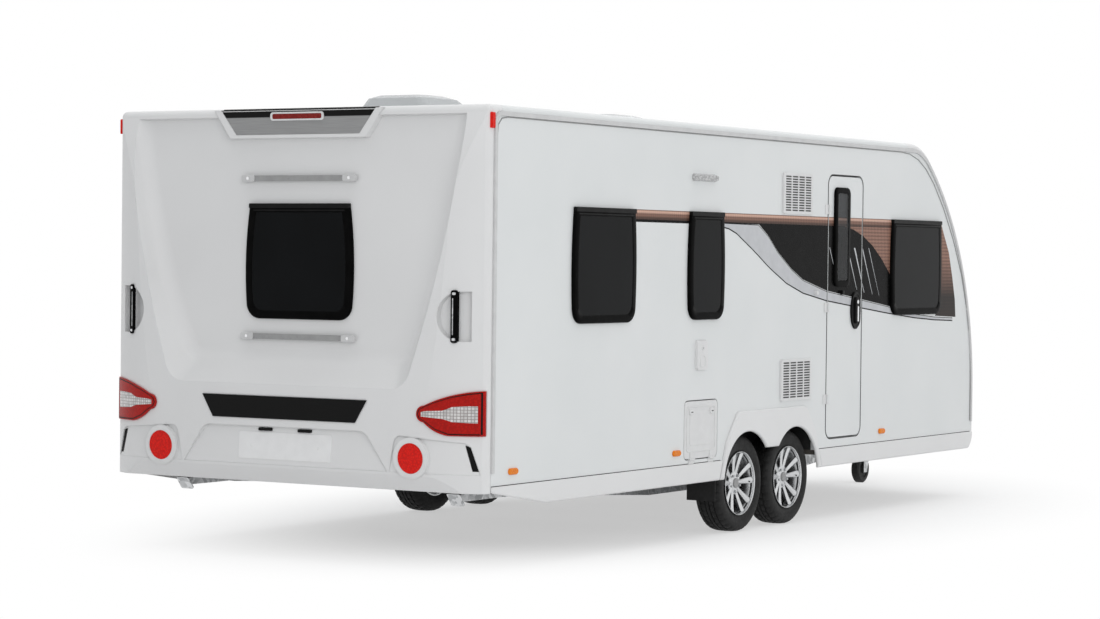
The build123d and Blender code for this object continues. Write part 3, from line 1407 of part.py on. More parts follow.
JOCKEY_X = at(JOCKEY_STATION) - JOCKEY_TRAIL
CROWN = 2 * JOCKEY_RADIUS + 14
with BuildPart() as jockey_fork:
    with BuildSketch(Plane.XY.offset(CROWN)):
        with Locations((at(JOCKEY_STATION), JOCKEY_Y)):
            Circle(JOCKEY_STEM)
    extrude(amount=TUBE_TOP - CROWN - 120)
    with BuildSketch(Plane.XY.offset(CROWN)):
        with Locations((at(JOCKEY_STATION) - JOCKEY_TRAIL / 2, JOCKEY_Y)):
            RectangleRounded(JOCKEY_TRAIL + 60, 2 * FORK_HALF + 2 * FORK_PLATE, 10)
    extrude(amount=8)
    for side in SIDES:
        with BuildSketch(along(JOCKEY_Y + side * (FORK_HALF + FORK_PLATE / 2) + FORK_PLATE / 2)):
            face_of(
                (JOCKEY_X - 24, JOCKEY_RADIUS - 24), (JOCKEY_X + 24, JOCKEY_RADIUS - 24),
                (at(JOCKEY_STATION) + 26, CROWN + 4), (JOCKEY_X - 20, CROWN + 4),
            )
        extrude(amount=FORK_PLATE)
    with BuildSketch(along(JOCKEY_Y + FORK_HALF)):
        with Locations((JOCKEY_X, JOCKEY_RADIUS)):
            Circle(PIN)
    extrude(amount=2 * FORK_HALF)
save(jockey_fork, "jockey_fork")

jockey_plane = Plane(origin=(JOCKEY_X, JOCKEY_Y, JOCKEY_RADIUS), x_dir=(0, 1, 0), z_dir=(1, 0, 0))
with BuildPart() as jockey_wheel:
    with BuildSketch(jockey_plane):
        half = JOCKEY_WIDTH / 2
        face_of(
            (-half - 2, PIN + FIT), (half + 2, PIN + FIT), (half + 2, 30), (half - 8, 34), (half - 8, 62),
            (half, 66), (half, 88), (half - 9, JOCKEY_RADIUS), (9 - half, JOCKEY_RADIUS), (-half, 88),
            (-half, 66), (8 - half, 62), (8 - half, 34), (-half - 2, 30),
        )
    revolve(axis=Axis(jockey_plane.origin, jockey_plane.x_dir))
save(jockey_wheel, "jockey_wheel")
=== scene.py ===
# %% [markdown]
# # A twin-axle touring caravan in a white studio
# The caravan arrives as CAD solids with their joints: walls, mouldings, panes, wheels, legs.
# This lesson dresses them. It gives every solid a finish, and adds what is too fine for CAD:
# printed stripes, window borders, tyre tread, lamp cells, locks and seals.
# All lengths are metres, in the CAD frame: X runs forwards, Y to the left, Z up from the floor.

# %% Load the frame
import json
from math import cos, pi, radians, sin

import bmesh
import bpy
from mathutils import Matrix, Vector
from mathutils.bvhtree import BVHTree


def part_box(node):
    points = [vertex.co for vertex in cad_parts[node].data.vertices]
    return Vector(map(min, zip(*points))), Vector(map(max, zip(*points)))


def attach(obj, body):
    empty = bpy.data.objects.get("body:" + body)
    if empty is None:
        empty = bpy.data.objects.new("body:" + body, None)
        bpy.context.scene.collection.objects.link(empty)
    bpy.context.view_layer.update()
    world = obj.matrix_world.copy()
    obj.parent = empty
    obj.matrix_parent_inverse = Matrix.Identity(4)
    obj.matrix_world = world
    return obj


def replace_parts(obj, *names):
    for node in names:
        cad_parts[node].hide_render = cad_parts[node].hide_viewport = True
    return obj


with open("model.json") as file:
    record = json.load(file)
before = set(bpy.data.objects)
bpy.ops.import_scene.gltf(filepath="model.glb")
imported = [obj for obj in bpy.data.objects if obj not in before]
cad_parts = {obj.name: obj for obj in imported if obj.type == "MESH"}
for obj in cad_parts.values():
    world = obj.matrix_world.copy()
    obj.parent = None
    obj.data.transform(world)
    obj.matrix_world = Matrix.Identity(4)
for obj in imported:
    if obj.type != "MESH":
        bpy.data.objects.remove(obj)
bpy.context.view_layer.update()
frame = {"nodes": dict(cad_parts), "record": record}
nodes = frame["nodes"]
scene = bpy.context.scene
scene.view_settings.view_transform = "Standard"

# %% [markdown]
# Along the side, a place is given as a coachbuilder would: a station, measured forwards from
# the rear corner, and a height. The CAD wall tells where that corner is, so it isn't set by eye.

# %% Stations
WALL_SETBACK = 0.030
wall_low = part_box("wall_right")[0]
rear_corner = wall_low.x - WALL_SETBACK
half_width = -wall_low.y
RIGHT, LEFT = -1, 1


def at(station):
    """Frame X of a station."""
    return rear_corner + station


def on_side(side):
    """Places a point by station, height and distance out from one side wall."""
    return lambda station, z, out: Vector((at(station), side * (half_width + out), z))


def on_rear(x):
    """Places a point by Y, height and distance out from an upright plane at the rear."""
    return lambda y, z, out: Vector((x - out, y, z))


print("rear corner at X", round(rear_corner, 3), "half width", round(half_width, 3))

# %% [markdown]
# The photograph was taken with a long lens from behind the right rear corner, at head height.
# Its place was solved from the edges of the body, so the camera is simply set there.

# %% Camera
CAMERA_AT = Vector((-16.1768, -9.1424, 1.6417))
YAW, PITCH, ROLL = radians(31.409), radians(-1.059), radians(0.636)
FOCAL_LENGTH, SENSOR_WIDTH, FARTHEST = 93.5, 36.0, 200.0
camera_data = bpy.data.cameras.new("photo_camera")
camera_data.lens = FOCAL_LENGTH
camera_data.sensor_width = SENSOR_WIDTH
camera_data.clip_end = FARTHEST
camera = bpy.data.objects.new("photo_camera", camera_data)
heading = Matrix.Rotation(YAW - pi / 2, 4, "Z")
nod = Matrix.Rotation(pi / 2 + PITCH, 4, "X")
lean = Matrix.Rotation(ROLL, 4, "Z")
camera.matrix_world = Matrix.Translation(CAMERA_AT) @ (heading @ nod @ lean)
scene.collection.objects.link(camera)
scene.camera = camera
print("camera", round((CAMERA_AT - Vector((0, 0, 1))).length, 2), "m from the middle")

# %% [markdown]
# The studio is white paper without an edge. A glowing backdrop would light the caravan as well, so
# the white is shown only to rays that come from the camera, a reflection or a pane. A Light Path
# node tells these rays from the light that bounces, and sky and floor share the switch.

# %% Rays that see the background
def seen_directly(tree):
    """Output that is 1 for camera, glossy and transmission rays and 0 for light that bounces."""
    path = tree.nodes.new("ShaderNodeLightPath")
    either = tree.nodes.new("ShaderNodeMath")
    either.operation = "MAXIMUM"
    tree.links.new(path.outputs["Is Camera Ray"], either.inputs[0])
    tree.links.new(path.outputs["Is Glossy Ray"], either.inputs[1])
    any_of = tree.nodes.new("ShaderNodeMath")
    any_of.operation = "MAXIMUM"
    tree.links.new(either.outputs[0], any_of.inputs[0])
    tree.links.new(path.outputs["Is Transmission Ray"], any_of.inputs[1])
    return any_of.outputs[0]


print("white shows to camera, glossy and transmission rays")

# %% [markdown]
# A studio's sky is its pale ceiling and walls. A picture of a sky would bring its own colours, so the
# world is two plain backgrounds: paper white to look at, and a weaker, cool light for everything else.

# %% World
SKY_LIGHT = 0.46
world = bpy.data.worlds.new("studio")
scene.world = world
world.use_nodes = True
sky = world.node_tree
paper = sky.nodes["Background"]
paper.inputs["Color"].default_value = (1, 1, 1, 1)
paper.inputs["Strength"].default_value = 1.0
ambient = sky.nodes.new("ShaderNodeBackground")
ambient.inputs["Color"].default_value = (0.96, 0.98, 1.0, 1)
ambient.inputs["Strength"].default_value = SKY_LIGHT
choose = sky.nodes.new("ShaderNodeMixShader")
sky.links.new(seen_directly(sky), choose.inputs[0])
sky.links.new(ambient.outputs[0], choose.inputs[1])
sky.links.new(paper.outputs[0], choose.inputs[2])
sky.links.new(choose.outputs[0], sky.nodes["World Output"].inputs["Surface"])
print("sky light", SKY_LIGHT)

# %% [markdown]
# The floor is a sheet of pale paper, a little below the tyres. A plain disc is enough, so large that
# its rim is never seen.

# %% Floor sheet
FLOOR_REACH, FLOOR_DROP = 60.0, 0.001
sheet = bmesh.new()
bmesh.ops.create_circle(sheet, cap_ends=True, radius=FLOOR_REACH, segments=96)
floor_data = bpy.data.meshes.new("studio_floor")
sheet.to_mesh(floor_data)
sheet.free()
floor = bpy.data.objects.new("studio_floor", floor_data)
floor.location.z = -FLOOR_DROP
scene.collection.objects.link(floor)
print("floor reaches", FLOOR_REACH, "m")

# %% [markdown]
# The paper keeps the soft shadow near the caravan and fades to plain white further out. A shadow
# catcher would need compositing. Here the shader itself fades, over an oval round the wheels, from
# lit paper to white. Seen from below it is clear, so that the underside can be looked at.

# %% Floor paper
SHADOW_LENGTH, SHADOW_WIDTH = 4.1, 2.3
FADE_START, FADE_END = 0.55, 1.20
PAPER_GLOW = 0.52
floor_paper = bpy.data.materials.new("floor_paper")
floor_paper.use_nodes = True
tree = floor_paper.node_tree
tree.nodes.remove(tree.nodes["Principled BSDF"])
place = tree.nodes.new("ShaderNodeTexCoord")
oval = tree.nodes.new("ShaderNodeMapping")
oval.inputs["Scale"].default_value = (1 / SHADOW_LENGTH, 1 / SHADOW_WIDTH, 1)
distance = tree.nodes.new("ShaderNodeVectorMath")
distance.operation = "LENGTH"
fade = tree.nodes.new("ShaderNodeMapRange")
fade.interpolation_type = "SMOOTHSTEP"
fade.inputs["From Min"].default_value = FADE_START
fade.inputs["From Max"].default_value = FADE_END
fade.inputs["To Min"].default_value = PAPER_GLOW
both = tree.nodes.new("ShaderNodeMath")
both.operation = "MULTIPLY"
matt = tree.nodes.new("ShaderNodeBsdfDiffuse")
matt.inputs["Color"].default_value = (0.93, 0.93, 0.93, 1)
white = tree.nodes.new("ShaderNodeEmission")
white.inputs["Strength"].default_value = 1.0
mix = tree.nodes.new("ShaderNodeMixShader")
tree.links.new(place.outputs["Object"], oval.inputs["Vector"])
tree.links.new(oval.outputs["Vector"], distance.inputs[0])
tree.links.new(distance.outputs["Value"], fade.inputs["Value"])
tree.links.new(fade.outputs["Result"], both.inputs[0])
tree.links.new(seen_directly(tree), both.inputs[1])
tree.links.new(both.outputs[0], mix.inputs[0])
tree.links.new(matt.outputs[0], mix.inputs[1])
tree.links.new(white.outputs[0], mix.inputs[2])
under = tree.nodes.new("ShaderNodeNewGeometry")
gone = tree.nodes.new("ShaderNodeBsdfTransparent")
sided = tree.nodes.new("ShaderNodeMixShader")
tree.links.new(under.outputs["Backfacing"], sided.inputs[0])
tree.links.new(mix.outputs[0], sided.inputs[1])
tree.links.new(gone.outputs[0], sided.inputs[2])
tree.links.new(sided.outputs[0], tree.nodes["Material Output"].inputs["Surface"])
floor_data.materials.append(floor_paper)
print("shadow fades out round an oval with half axes of", SHADOW_LENGTH, "and", SHADOW_WIDTH, "m")

# %% [markdown]
# Softboxes stand where a car photographer puts them: one long box over the roof, a large one
# along the door side and one behind. Their size keeps the shadow edges soft. Panes and gloss reflect
# the white paper round them and not the boxes, as if those were hidden by diffusing cloth.

# %% Lights
# Columns: name, place, aim, width, height, watts
SOFTBOXES = (
    ("roof_box", (-0.5, -1.0, 8.0), (0, 0, 0), 15.0, 9.0, 400.0),
    ("door_side_box", (2.5, -12.0, 4.5), (0.5, -1.2, 1.2), 12.0, 6.0, 145.0),
    ("rear_box", (-10.0, -7.0, 4.2), (-3.8, 0.6, 1.2), 6.0, 4.0, 190.0),
)
for name, spot, aim, width, height, watts in SOFTBOXES:
    lamp = bpy.data.lights.new(name, "AREA")
    lamp.shape = "RECTANGLE"
    lamp.size, lamp.size_y, lamp.energy = width, height, watts
    holder = bpy.data.objects.new(name, lamp)
    holder.location = spot
    holder.visible_glossy = False
    holder.rotation_euler = (Vector(aim) - Vector(spot)).to_track_quat("-Z", "Y").to_euler()
    scene.collection.objects.link(holder)
print(len(SOFTBOXES), "softboxes")

# %% [markdown]
# Each finish is a Principled shader. Real surfaces are never one even value, so a noise varies the
# colour and mostly the roughness a little, and a bump adds relief. What is the same all over is
# set on the shader itself. The noise reads object coordinates, which every solid shares here.

# %% Finish helpers
def new_finish(name, **sockets):
    """Principled material with the given constant socket values."""
    material = bpy.data.materials.new(name)
    material.use_nodes = True
    shader = material.node_tree.nodes["Principled BSDF"]
    for socket, value in sockets.items():
        shader.inputs[socket.replace("_", " ")].default_value = value
    return material, material.node_tree, shader


def object_place(tree):
    """Object coordinates of the surface."""
    return tree.nodes.new("ShaderNodeTexCoord").outputs["Object"]


def noise(tree, grain, detail=3.0):
    """Noise whose blotches are about grain metres across."""
    texture = tree.nodes.new("ShaderNodeTexNoise")
    texture.inputs["Scale"].default_value = 1.0 / grain
    texture.inputs["Detail"].default_value = detail
    tree.links.new(object_place(tree), texture.inputs["Vector"])
    return texture.outputs["Fac"]


def ramp(tree, value, stops):
    """Colour ramp over value. Columns of stops: position, grey or colour."""
    colours = tree.nodes.new("ShaderNodeValToRGB")
    elements = colours.color_ramp.elements
    while len(elements) < len(stops):
        elements.new(0.5)
    for element, (position, colour) in zip(elements, stops):
        element.position = position
        element.color = (*colour, 1) if isinstance(colour, tuple) else (colour, colour, colour, 1)
    tree.links.new(value, colours.inputs["Fac"])
    return colours.outputs["Color"]


def vary(tree, shader, socket, pattern, low, high, span=(0.3, 0.7)):
    """Lets a pattern carry one socket of the shader from low to high over its span."""
    first, last = span
    tree.links.new(ramp(tree, pattern, ((first, low), (last, high))), shader.inputs[socket])


print("finish helpers ready")

# %% [markdown]
# Relief comes from the shader as well. A modelled grain would take millions of faces, so a bump node
# only tilts the light over it, and a bevel node rounds the shading of edges that CAD leaves sharp.

# %% Relief helpers
EDGE_SAMPLES = 6


def bump(tree, shader, value, height, under=None):
    """Relief of that height in metres on the shader's normal."""
    relief = tree.nodes.new("ShaderNodeBump")
    relief.inputs["Distance"].default_value = height
    tree.links.new(value, relief.inputs["Height"])
    if under is not None:
        tree.links.new(under, relief.inputs["Normal"])
    tree.links.new(relief.outputs["Normal"], shader.inputs["Normal"])


def soft_edges(tree, radius):
    """Normal that rounds the shading of hard edges."""
    edges = tree.nodes.new("ShaderNodeBevel")
    edges.samples = EDGE_SAMPLES
    edges.inputs["Radius"].default_value = radius
    return edges.outputs["Normal"]


print("relief helpers ready")

# %% [markdown]
# Some finishes change with height, and some have a grain that runs one way. Both could be painted
# as pictures, but a few nodes give them in real sizes: a band between two heights, a noise drawn
# out along an axis, and a blend of two colours.

# %% Pattern helpers
def height_band(tree, low, high):
    """Output that runs from 0 to 1 between two heights."""
    split = tree.nodes.new("ShaderNodeSeparateXYZ")
    tree.links.new(object_place(tree), split.inputs[0])
    band = tree.nodes.new("ShaderNodeMapRange")
    band.inputs["From Min"].default_value = low
    band.inputs["From Max"].default_value = high
    tree.links.new(split.outputs["Z"], band.inputs["Value"])
    return band.outputs["Result"]


def stretched_noise(tree, scale, detail):
    """Noise drawn out along the axis with the smallest scale."""
    stretch = tree.nodes.new("ShaderNodeMapping")
    stretch.inputs["Scale"].default_value = scale
    texture = tree.nodes.new("ShaderNodeTexNoise")
    texture.inputs["Detail"].default_value = detail
    tree.links.new(object_place(tree), stretch.inputs["Vector"])
    tree.links.new(stretch.outputs["Vector"], texture.inputs["Vector"])
    return texture.outputs["Fac"]


def blended(tree, first, second, way="MULTIPLY"):
    """Two patterns blended at full strength."""
    blend = tree.nodes.new("ShaderNodeMix")
    blend.data_type, blend.blend_type = "RGBA", way
    blend.inputs["Factor"].default_value = 1.0
    tree.links.new(first, blend.inputs["A"])
    tree.links.new(second, blend.inputs["B"])
    return blend.outputs["Result"]


print("pattern helpers ready")

# %% [markdown]
# The walls are sandwich panels under a gloss white skin, and the ends are moulded in gloss white
# plastic. Both could share a white, but the skin is slightly cooler and shows the faint waviness
# of sheet, while the mouldings are truer and have rounder edges. A clear coat gives both their shine.

# %% White skin and mouldings
def white_finish(name, dark, light, waviness, edge):
    """Gloss white under a clear coat, wavy over about half a metre."""
    material, tree, shader = new_finish(name, Coat_Weight=0.35, Coat_Roughness=0.08, Specular_IOR_Level=0.4)
    vary(tree, shader, "Base Color", noise(tree, 0.55, 2.0), dark, light)
    vary(tree, shader, "Roughness", noise(tree, 0.03), 0.30, 0.38)
    bump(tree, shader, noise(tree, 0.45, 1.0), waviness, soft_edges(tree, edge))
    return material


white_skin = white_finish("white_skin", (0.755, 0.775, 0.775), (0.785, 0.80, 0.80), 0.0012, 0.003)
white_moulding = white_finish("white_moulding", (0.775, 0.775, 0.775), (0.80, 0.80, 0.80), 0.0006, 0.009)
print("made", white_skin.name, white_moulding.name)

# %% [markdown]
# Small fittings are injection moulded and stay satin: a fine spark-eroded grain breaks the shine.
# One function makes the white, grey and black ones, because only the colour and grain differ.

# %% Moulded plastics
def moulded_plastic(name, dark, light, rough, grain=0.0012, relief=0.00015, edge=0.0025, shine=0.45):
    """Satin plastic with a fine moulded grain."""
    material, tree, shader = new_finish(name, Specular_IOR_Level=shine)
    vary(tree, shader, "Base Color", noise(tree, 0.06), dark, light)
    vary(tree, shader, "Roughness", noise(tree, 0.02), rough - 0.05, rough + 0.07)
    bump(tree, shader, noise(tree, grain), relief, soft_edges(tree, edge))
    return material


white_plastic = moulded_plastic("white_plastic", 0.74, 0.78, 0.42)
plate_white = moulded_plastic("plate_white", 0.86, 0.90, 0.36)
white_rail = moulded_plastic("white_rail", 0.60, 0.66, 0.34)
grey_plastic = moulded_plastic("grey_plastic", 0.30, 0.36, 0.48)
black_gloss = moulded_plastic("black_gloss", 0.002, 0.004, 0.22, relief=0.00003, shine=0.02)
dark_plastic = moulded_plastic("dark_plastic", 0.005, 0.010, 0.36, shine=0.08)
black_liner = moulded_plastic("black_liner", 0.016, 0.026, 0.70, grain=0.006, relief=0.0006)
rail_grey = moulded_plastic("rail_grey", 0.29, 0.36, 0.30)
# The darkest grey is painted shade, for the bed of the vent slots.
slot_painted_shade = moulded_plastic("slot_painted_shade", 0.050, 0.075, 0.60)
print("made the moulded plastics")

# %% [markdown]
# The panes are double acrylic, tinted so dark that the cabin hardly shows. Solid black would hide
# the blind frames behind them, so the shader lets some light through and colours it smoke grey.
# The roof domes are the same acrylic in a milky tint.

# %% Acrylic panes and roof domes
def acrylic(name, dark, light, clear, rough, index):
    """Tinted acrylic that lets a share of the light through, with its refractive index."""
    material, tree, shader = new_finish(name, Transmission_Weight=clear, IOR=index, Roughness=rough)
    vary(tree, shader, "Base Color", noise(tree, 0.4, 1.0), dark, light)
    bump(tree, shader, noise(tree, 0.35, 1.0), 0.0008)
    return material


tinted_pane = acrylic("tinted_pane", (0.0045, 0.0055, 0.0065), (0.0075, 0.0090, 0.0105), 0.50, 0.03, 1.15)
door_tint = acrylic("door_tint", (0.26, 0.27, 0.28), (0.31, 0.32, 0.33), 0.92, 0.03, 1.15)
roof_dome = acrylic("roof_dome", (0.62, 0.64, 0.65), (0.70, 0.72, 0.73), 0.35, 0.18, 1.45)
print("made", tinted_pane.name, door_tint.name, roof_dome.name)

# %% [markdown]
# Lamp lenses are clear-coated coloured plastic with small prisms moulded on the inside. The cells
# of a Voronoi texture stand for the prisms: each cell tilts the surface and shifts the colour.
# The tail lamps share a solid with the bright round reflectors below them, but look darker, because
# their bowls lie far behind the lens in shade. So above a height that lens carries painted shade.

# %% Lamp lenses
# Above the foot of the tail lamps the lens carries painted shade, keeping this share of its colour.
LAMP_FOOT, LAMP_BLEND, LAMP_SHADE = 0.690, 0.010, 0.58


def with_painted_shade(tree, colour):
    """The colour, with painted shade above the foot of the tail lamps."""
    above = height_band(tree, LAMP_FOOT - LAMP_BLEND, LAMP_FOOT + LAMP_BLEND)
    return blended(tree, colour, ramp(tree, above, ((0.0, 1.0), (1.0, LAMP_SHADE))))


def lens(name, dark, light, prism=0.012, glow=0.0, painted_shade=False):
    """Coloured lens with prisms of about that width."""
    material, tree, shader = new_finish(
        name, Roughness=0.16, Specular_IOR_Level=0.12, Coat_Weight=0.06, Coat_Roughness=0.05,
        Transmission_Weight=glow,
    )
    cells = tree.nodes.new("ShaderNodeTexVoronoi")
    cells.inputs["Scale"].default_value = 1.0 / prism
    tree.links.new(object_place(tree), cells.inputs["Vector"])
    colour = ramp(tree, cells.outputs["Distance"], ((0.1, light), (0.7, dark)))
    tree.links.new(with_painted_shade(tree, colour) if painted_shade else colour, shader.inputs["Base Color"])
    bump(tree, shader, cells.outputs["Distance"], 0.0003)
    return material


tail_lens = lens("tail_lens", (0.66, 0.008, 0.004), (0.90, 0.013, 0.006), painted_shade=True)
red_lens = lens("red_lens", (0.70, 0.008, 0.004), (0.88, 0.013, 0.006))
dark_red_lens = lens("dark_red_lens", (0.20, 0.010, 0.008), (0.30, 0.022, 0.018))
amber_lens = lens("amber_lens", (0.80, 0.19, 0.012), (0.95, 0.32, 0.03), prism=0.008)
clear_lens = lens("clear_lens", (0.50, 0.50, 0.50), (0.92, 0.92, 0.92), glow=0.25)
print("made five lenses")

# %% [markdown]
# The chassis is hot-dip galvanised: the zinc freezes in flat crystals, a spangle, each of its own
# grey. A Voronoi texture coloured per cell is that pattern. The wheels are bright cast alloy, and
# the drawbar castings are painted black over a sandy surface.

# %% Metals
METAL_SPAN = (0.15, 0.85)


def spangle(tree, grain):
    """One grey for each crystal, about grain metres across."""
    crystals = tree.nodes.new("ShaderNodeTexVoronoi")
    crystals.inputs["Scale"].default_value = 1.0 / grain
    tree.links.new(object_place(tree), crystals.inputs["Vector"])
    channels = tree.nodes.new("ShaderNodeSeparateColor")
    tree.links.new(crystals.outputs["Color"], channels.inputs[0])
    return channels.outputs["Red"]


def metal(name, dark, light, smooth, rough, grain, pattern=noise):
    """Bare metal that is smoother where it is lighter."""
    material, tree, shader = new_finish(name, Metallic=1.0)
    tone = pattern(tree, grain)
    vary(tree, shader, "Base Color", tone, dark, light, METAL_SPAN)
    vary(tree, shader, "Roughness", tone, rough, smooth, METAL_SPAN)
    bump(tree, shader, noise(tree, 0.004), 0.0001, soft_edges(tree, 0.003))
    return material


galvanised = metal("galvanised", (0.40, 0.41, 0.42), (0.62, 0.63, 0.64), 0.36, 0.56, 0.025, spangle)
alloy = metal("alloy", (0.56, 0.57, 0.58), (0.70, 0.71, 0.72), 0.22, 0.34, 0.03)
bright_steel = metal("bright_steel", (0.70, 0.71, 0.72), (0.82, 0.83, 0.84), 0.12, 0.22, 0.02)
black_metal = moulded_plastic("black_metal", 0.014, 0.026, 0.50, grain=0.004, relief=0.0004)
print("made the metals")

# %% [markdown]
# Rubber is black but dusty: the grey bloom gathers in large soft blotches. The underside of the
# floor is coated plywood, so a stretched noise gives it the direction of wood grain.

# %% Rubber and floor board
def rubber(name, dark, light, rough):
    """Black rubber with a dusty bloom."""
    material, tree, shader = new_finish(name, Specular_IOR_Level=0.3)
    vary(tree, shader, "Base Color", noise(tree, 0.05, 5.0), dark, light, (0.3, 0.75))
    vary(tree, shader, "Roughness", noise(tree, 0.015), rough - 0.08, rough + 0.08)
    bump(tree, shader, noise(tree, 0.0015), 0.0002)
    return material


tyre_rubber = rubber("tyre_rubber", 0.009, 0.020, 0.72)
flap_rubber = rubber("flap_rubber", 0.010, 0.018, 0.62)
floor_board, tree, shader = new_finish("floor_board", Roughness=0.8)
wood_grain = stretched_noise(tree, (2.0, 40.0, 40.0), 5.0)
vary(tree, shader, "Base Color", wood_grain, (0.05, 0.045, 0.04), (0.10, 0.09, 0.08))
bump(tree, shader, wood_grain, 0.0006)
print("made rubber and floor board")

# %% [markdown]
# The dark trim of the rear moulding is one CAD piece with two finishes: brushed black on the bumper
# strip and in the top half of the spoiler, and grey in the spoiler's lower half. Height decides
# between them in the shader, so the solid stays whole. The brushing is a noise stretched along Y.

# %% Rear trim
SPOILER_FOOT, SPOILER_SPLIT = 2.20, 2.375
BLACK, GREY = 0.006, 0.34
rear_black, tree, shader = new_finish("rear_black", Specular_IOR_Level=0.08)
band = height_band(tree, SPOILER_FOOT, 2.0 * SPOILER_SPLIT - SPOILER_FOOT)
trim_tone = ramp(tree, band, ((0.0, BLACK), (0.02, GREY), (0.495, GREY), (0.505, BLACK)))
hairs = stretched_noise(tree, (60.0, 1.5, 160.0), 4.0)
brushed = blended(tree, trim_tone, ramp(tree, hairs, ((0.3, 0.86), (0.7, 1.12))))
tree.links.new(brushed, shader.inputs["Base Color"])
vary(tree, shader, "Roughness", hairs, 0.30, 0.40)
print("made", rear_black.name)

# %% [markdown]
# Now each solid takes its finish. Picking solids one by one would be long, but the record names a
# material slot for every solid, so a table from slot to finish dresses most of them. The few with
# a finish of their own are listed by name.

# %% Dress the solids
SLOT_FINISH = {
    "white_skin": white_skin, "white_moulding": white_moulding, "white_rail": white_rail,
    "white_plastic": white_plastic, "dark_plastic": dark_plastic, "grey_plastic": grey_plastic,
    "tinted_pane": tinted_pane, "roof_dome": roof_dome, "clear_lens": clear_lens,
    "red_lens": red_lens, "amber_lens": amber_lens, "galvanised": galvanised,
    "black_metal": black_metal, "alloy": alloy, "tyre_rubber": tyre_rubber,
    "flap_rubber": flap_rubber, "black_liner": black_liner, "floor_board": floor_board,
}
OWN_FINISH = {
    "rear_trim": rear_black, "grab_handles": black_gloss, "rack_rails": rail_grey, "rear_lamps": tail_lens,
}


def dress(node, finish):
    """Puts a finish in every material slot of a solid."""
    for holder in node.material_slots:
        holder.link = "OBJECT"
        holder.material = finish


for subpart in frame["record"]["subparts"]:
    name = subpart["node"]
    dress(nodes[name], OWN_FINISH.get(name, SLOT_FINISH[subpart["material_slot"]]))

# %% [markdown]
# The added pieces are drawn as outlines and given thickness, much as they would be cut from sheet
# or moulded. A few helpers do that in mesh code: a prism from one outline, and a frame between
# several. Modifiers could do some of it, but mesh code says the sizes outright.

# %% Mesh helpers
def prism(mesh, outline, place, low, high):
    """Solid between two copies of an outline, low and high out from its surface."""
    bottom = [mesh.verts.new(place(a, b, low)) for a, b in outline]
    top = [mesh.verts.new(place(a, b, high)) for a, b in outline]
    mesh.faces.new(bottom)
    mesh.faces.new(top)
    for i in range(len(outline)):
        j = (i + 1) % len(outline)
        mesh.faces.new((bottom[i], bottom[j], top[j], top[i]))


def hoop(mesh, section, place):
    """Closed frame. Columns of its section: outline, distance out. All outlines have as many points."""
    rows = [[mesh.verts.new(place(a, b, out)) for a, b in outline] for outline, out in section]
    count = len(rows[0])
    for first, second in zip(rows, rows[1:] + rows[:1]):
        for i in range(count):
            j = (i + 1) % count
            mesh.faces.new((first[i], first[j], second[j], second[i]))


def ring(mesh, outer, inner, place, low, high):
    """Flat frame between two outlines."""
    hoop(mesh, ((outer, low), (outer, high), (inner, high), (inner, low)), place)


print("prism, hoop and ring ready")

# %% [markdown]
# Locks, nuts, bolts and hubs are turned pieces. A screw modifier could turn them, but a small lathe
# closes its ends by itself and needs no curve. Most plates have rounded corners, which one function
# draws.

# %% Lathe and rounded plates
def lathe(mesh, profile, centre, axis, steps=24, closed=False):
    """Turned piece. Columns of its profile: distance along the axis, radius. A closed one has a bore."""
    axis = Vector(axis).normalized()
    across = axis.orthogonal().normalized()
    upright = axis.cross(across)
    rows = []
    for along, radius in profile:
        turns = [2 * pi * k / steps for k in range(steps)] if radius > 0 else [0.0]
        rows.append([
            mesh.verts.new(Vector(centre) + axis * along + (across * cos(t) + upright * sin(t)) * radius)
            for t in turns
        ])
    for first, second in zip(rows, rows[1:] + rows[:1] if closed else rows[1:]):
        for k in range(steps):
            around = ((first, k), (first, k + 1), (second, k + 1), (second, k))
            corners = list(dict.fromkeys(row[step % len(row)] for row, step in around))
            if len(corners) > 2:
                mesh.faces.new(corners)


def rounded_box(a, b, width, height, corner, steps=6):
    """Outline of a rounded rectangle round a middle point."""
    points = []
    for turn, da, db in ((0, 1, 1), (90, -1, 1), (180, -1, -1), (270, 1, -1)):
        middle_a, middle_b = a + da * (width / 2 - corner), b + db * (height / 2 - corner)
        for k in range(steps + 1):
            t = radians(turn + 90 * k / steps)
            points.append((middle_a + corner * cos(t), middle_b + corner * sin(t)))
    return points


print("lathe and rounded_box ready")

# %% [markdown]
# A finished piece is shaded, bevelled where its edges show, and told which body it rides on, so that
# it moves with the door, the lid or the wheel that carries it on the real caravan.

# %% Finishing a piece
SHARP_DEGREES = 35


def finish_piece(name, mesh, finish, body, bevel=0.0):
    """Turns mesh code into a named piece that rides on a body."""
    bmesh.ops.recalc_face_normals(mesh, faces=mesh.faces)
    data = bpy.data.meshes.new(name)
    mesh.to_mesh(data)
    mesh.free()
    data.materials.append(finish)
    data.shade_smooth()
    data.set_sharp_from_angle(angle=radians(SHARP_DEGREES))
    piece = bpy.data.objects.new(name, data)
    scene.collection.objects.link(piece)
    if bevel:
        round_off = piece.modifiers.new("rounded_edges", "BEVEL")
        round_off.width, round_off.segments, round_off.limit_method = bevel, 2, "ANGLE"
    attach(piece, body)
    return piece


print("edges over", SHARP_DEGREES, "degrees stay sharp")

# %% [markdown]
# Some pieces lie on a curved moulding, such as the lamp cells on a lens that wraps the corner.
# They are drawn flat, across the caravan, and each point is dropped forwards onto the solid, the way
# a decal is pressed on. A ray cast finds the surface under each point.

# %% Laying pieces on a solid
FAR_OFF = 10.0


def surface_of(*names):
    """Search tree over the triangles of some solids."""
    corners, triangles = [], []
    for name in names:
        shift = len(corners)
        corners += [v.co for v in nodes[name].data.vertices]
        triangles += [tuple(shift + k for k in p.vertices) for p in nodes[name].data.polygons]
    return BVHTree.FromPolygons(corners, triangles)


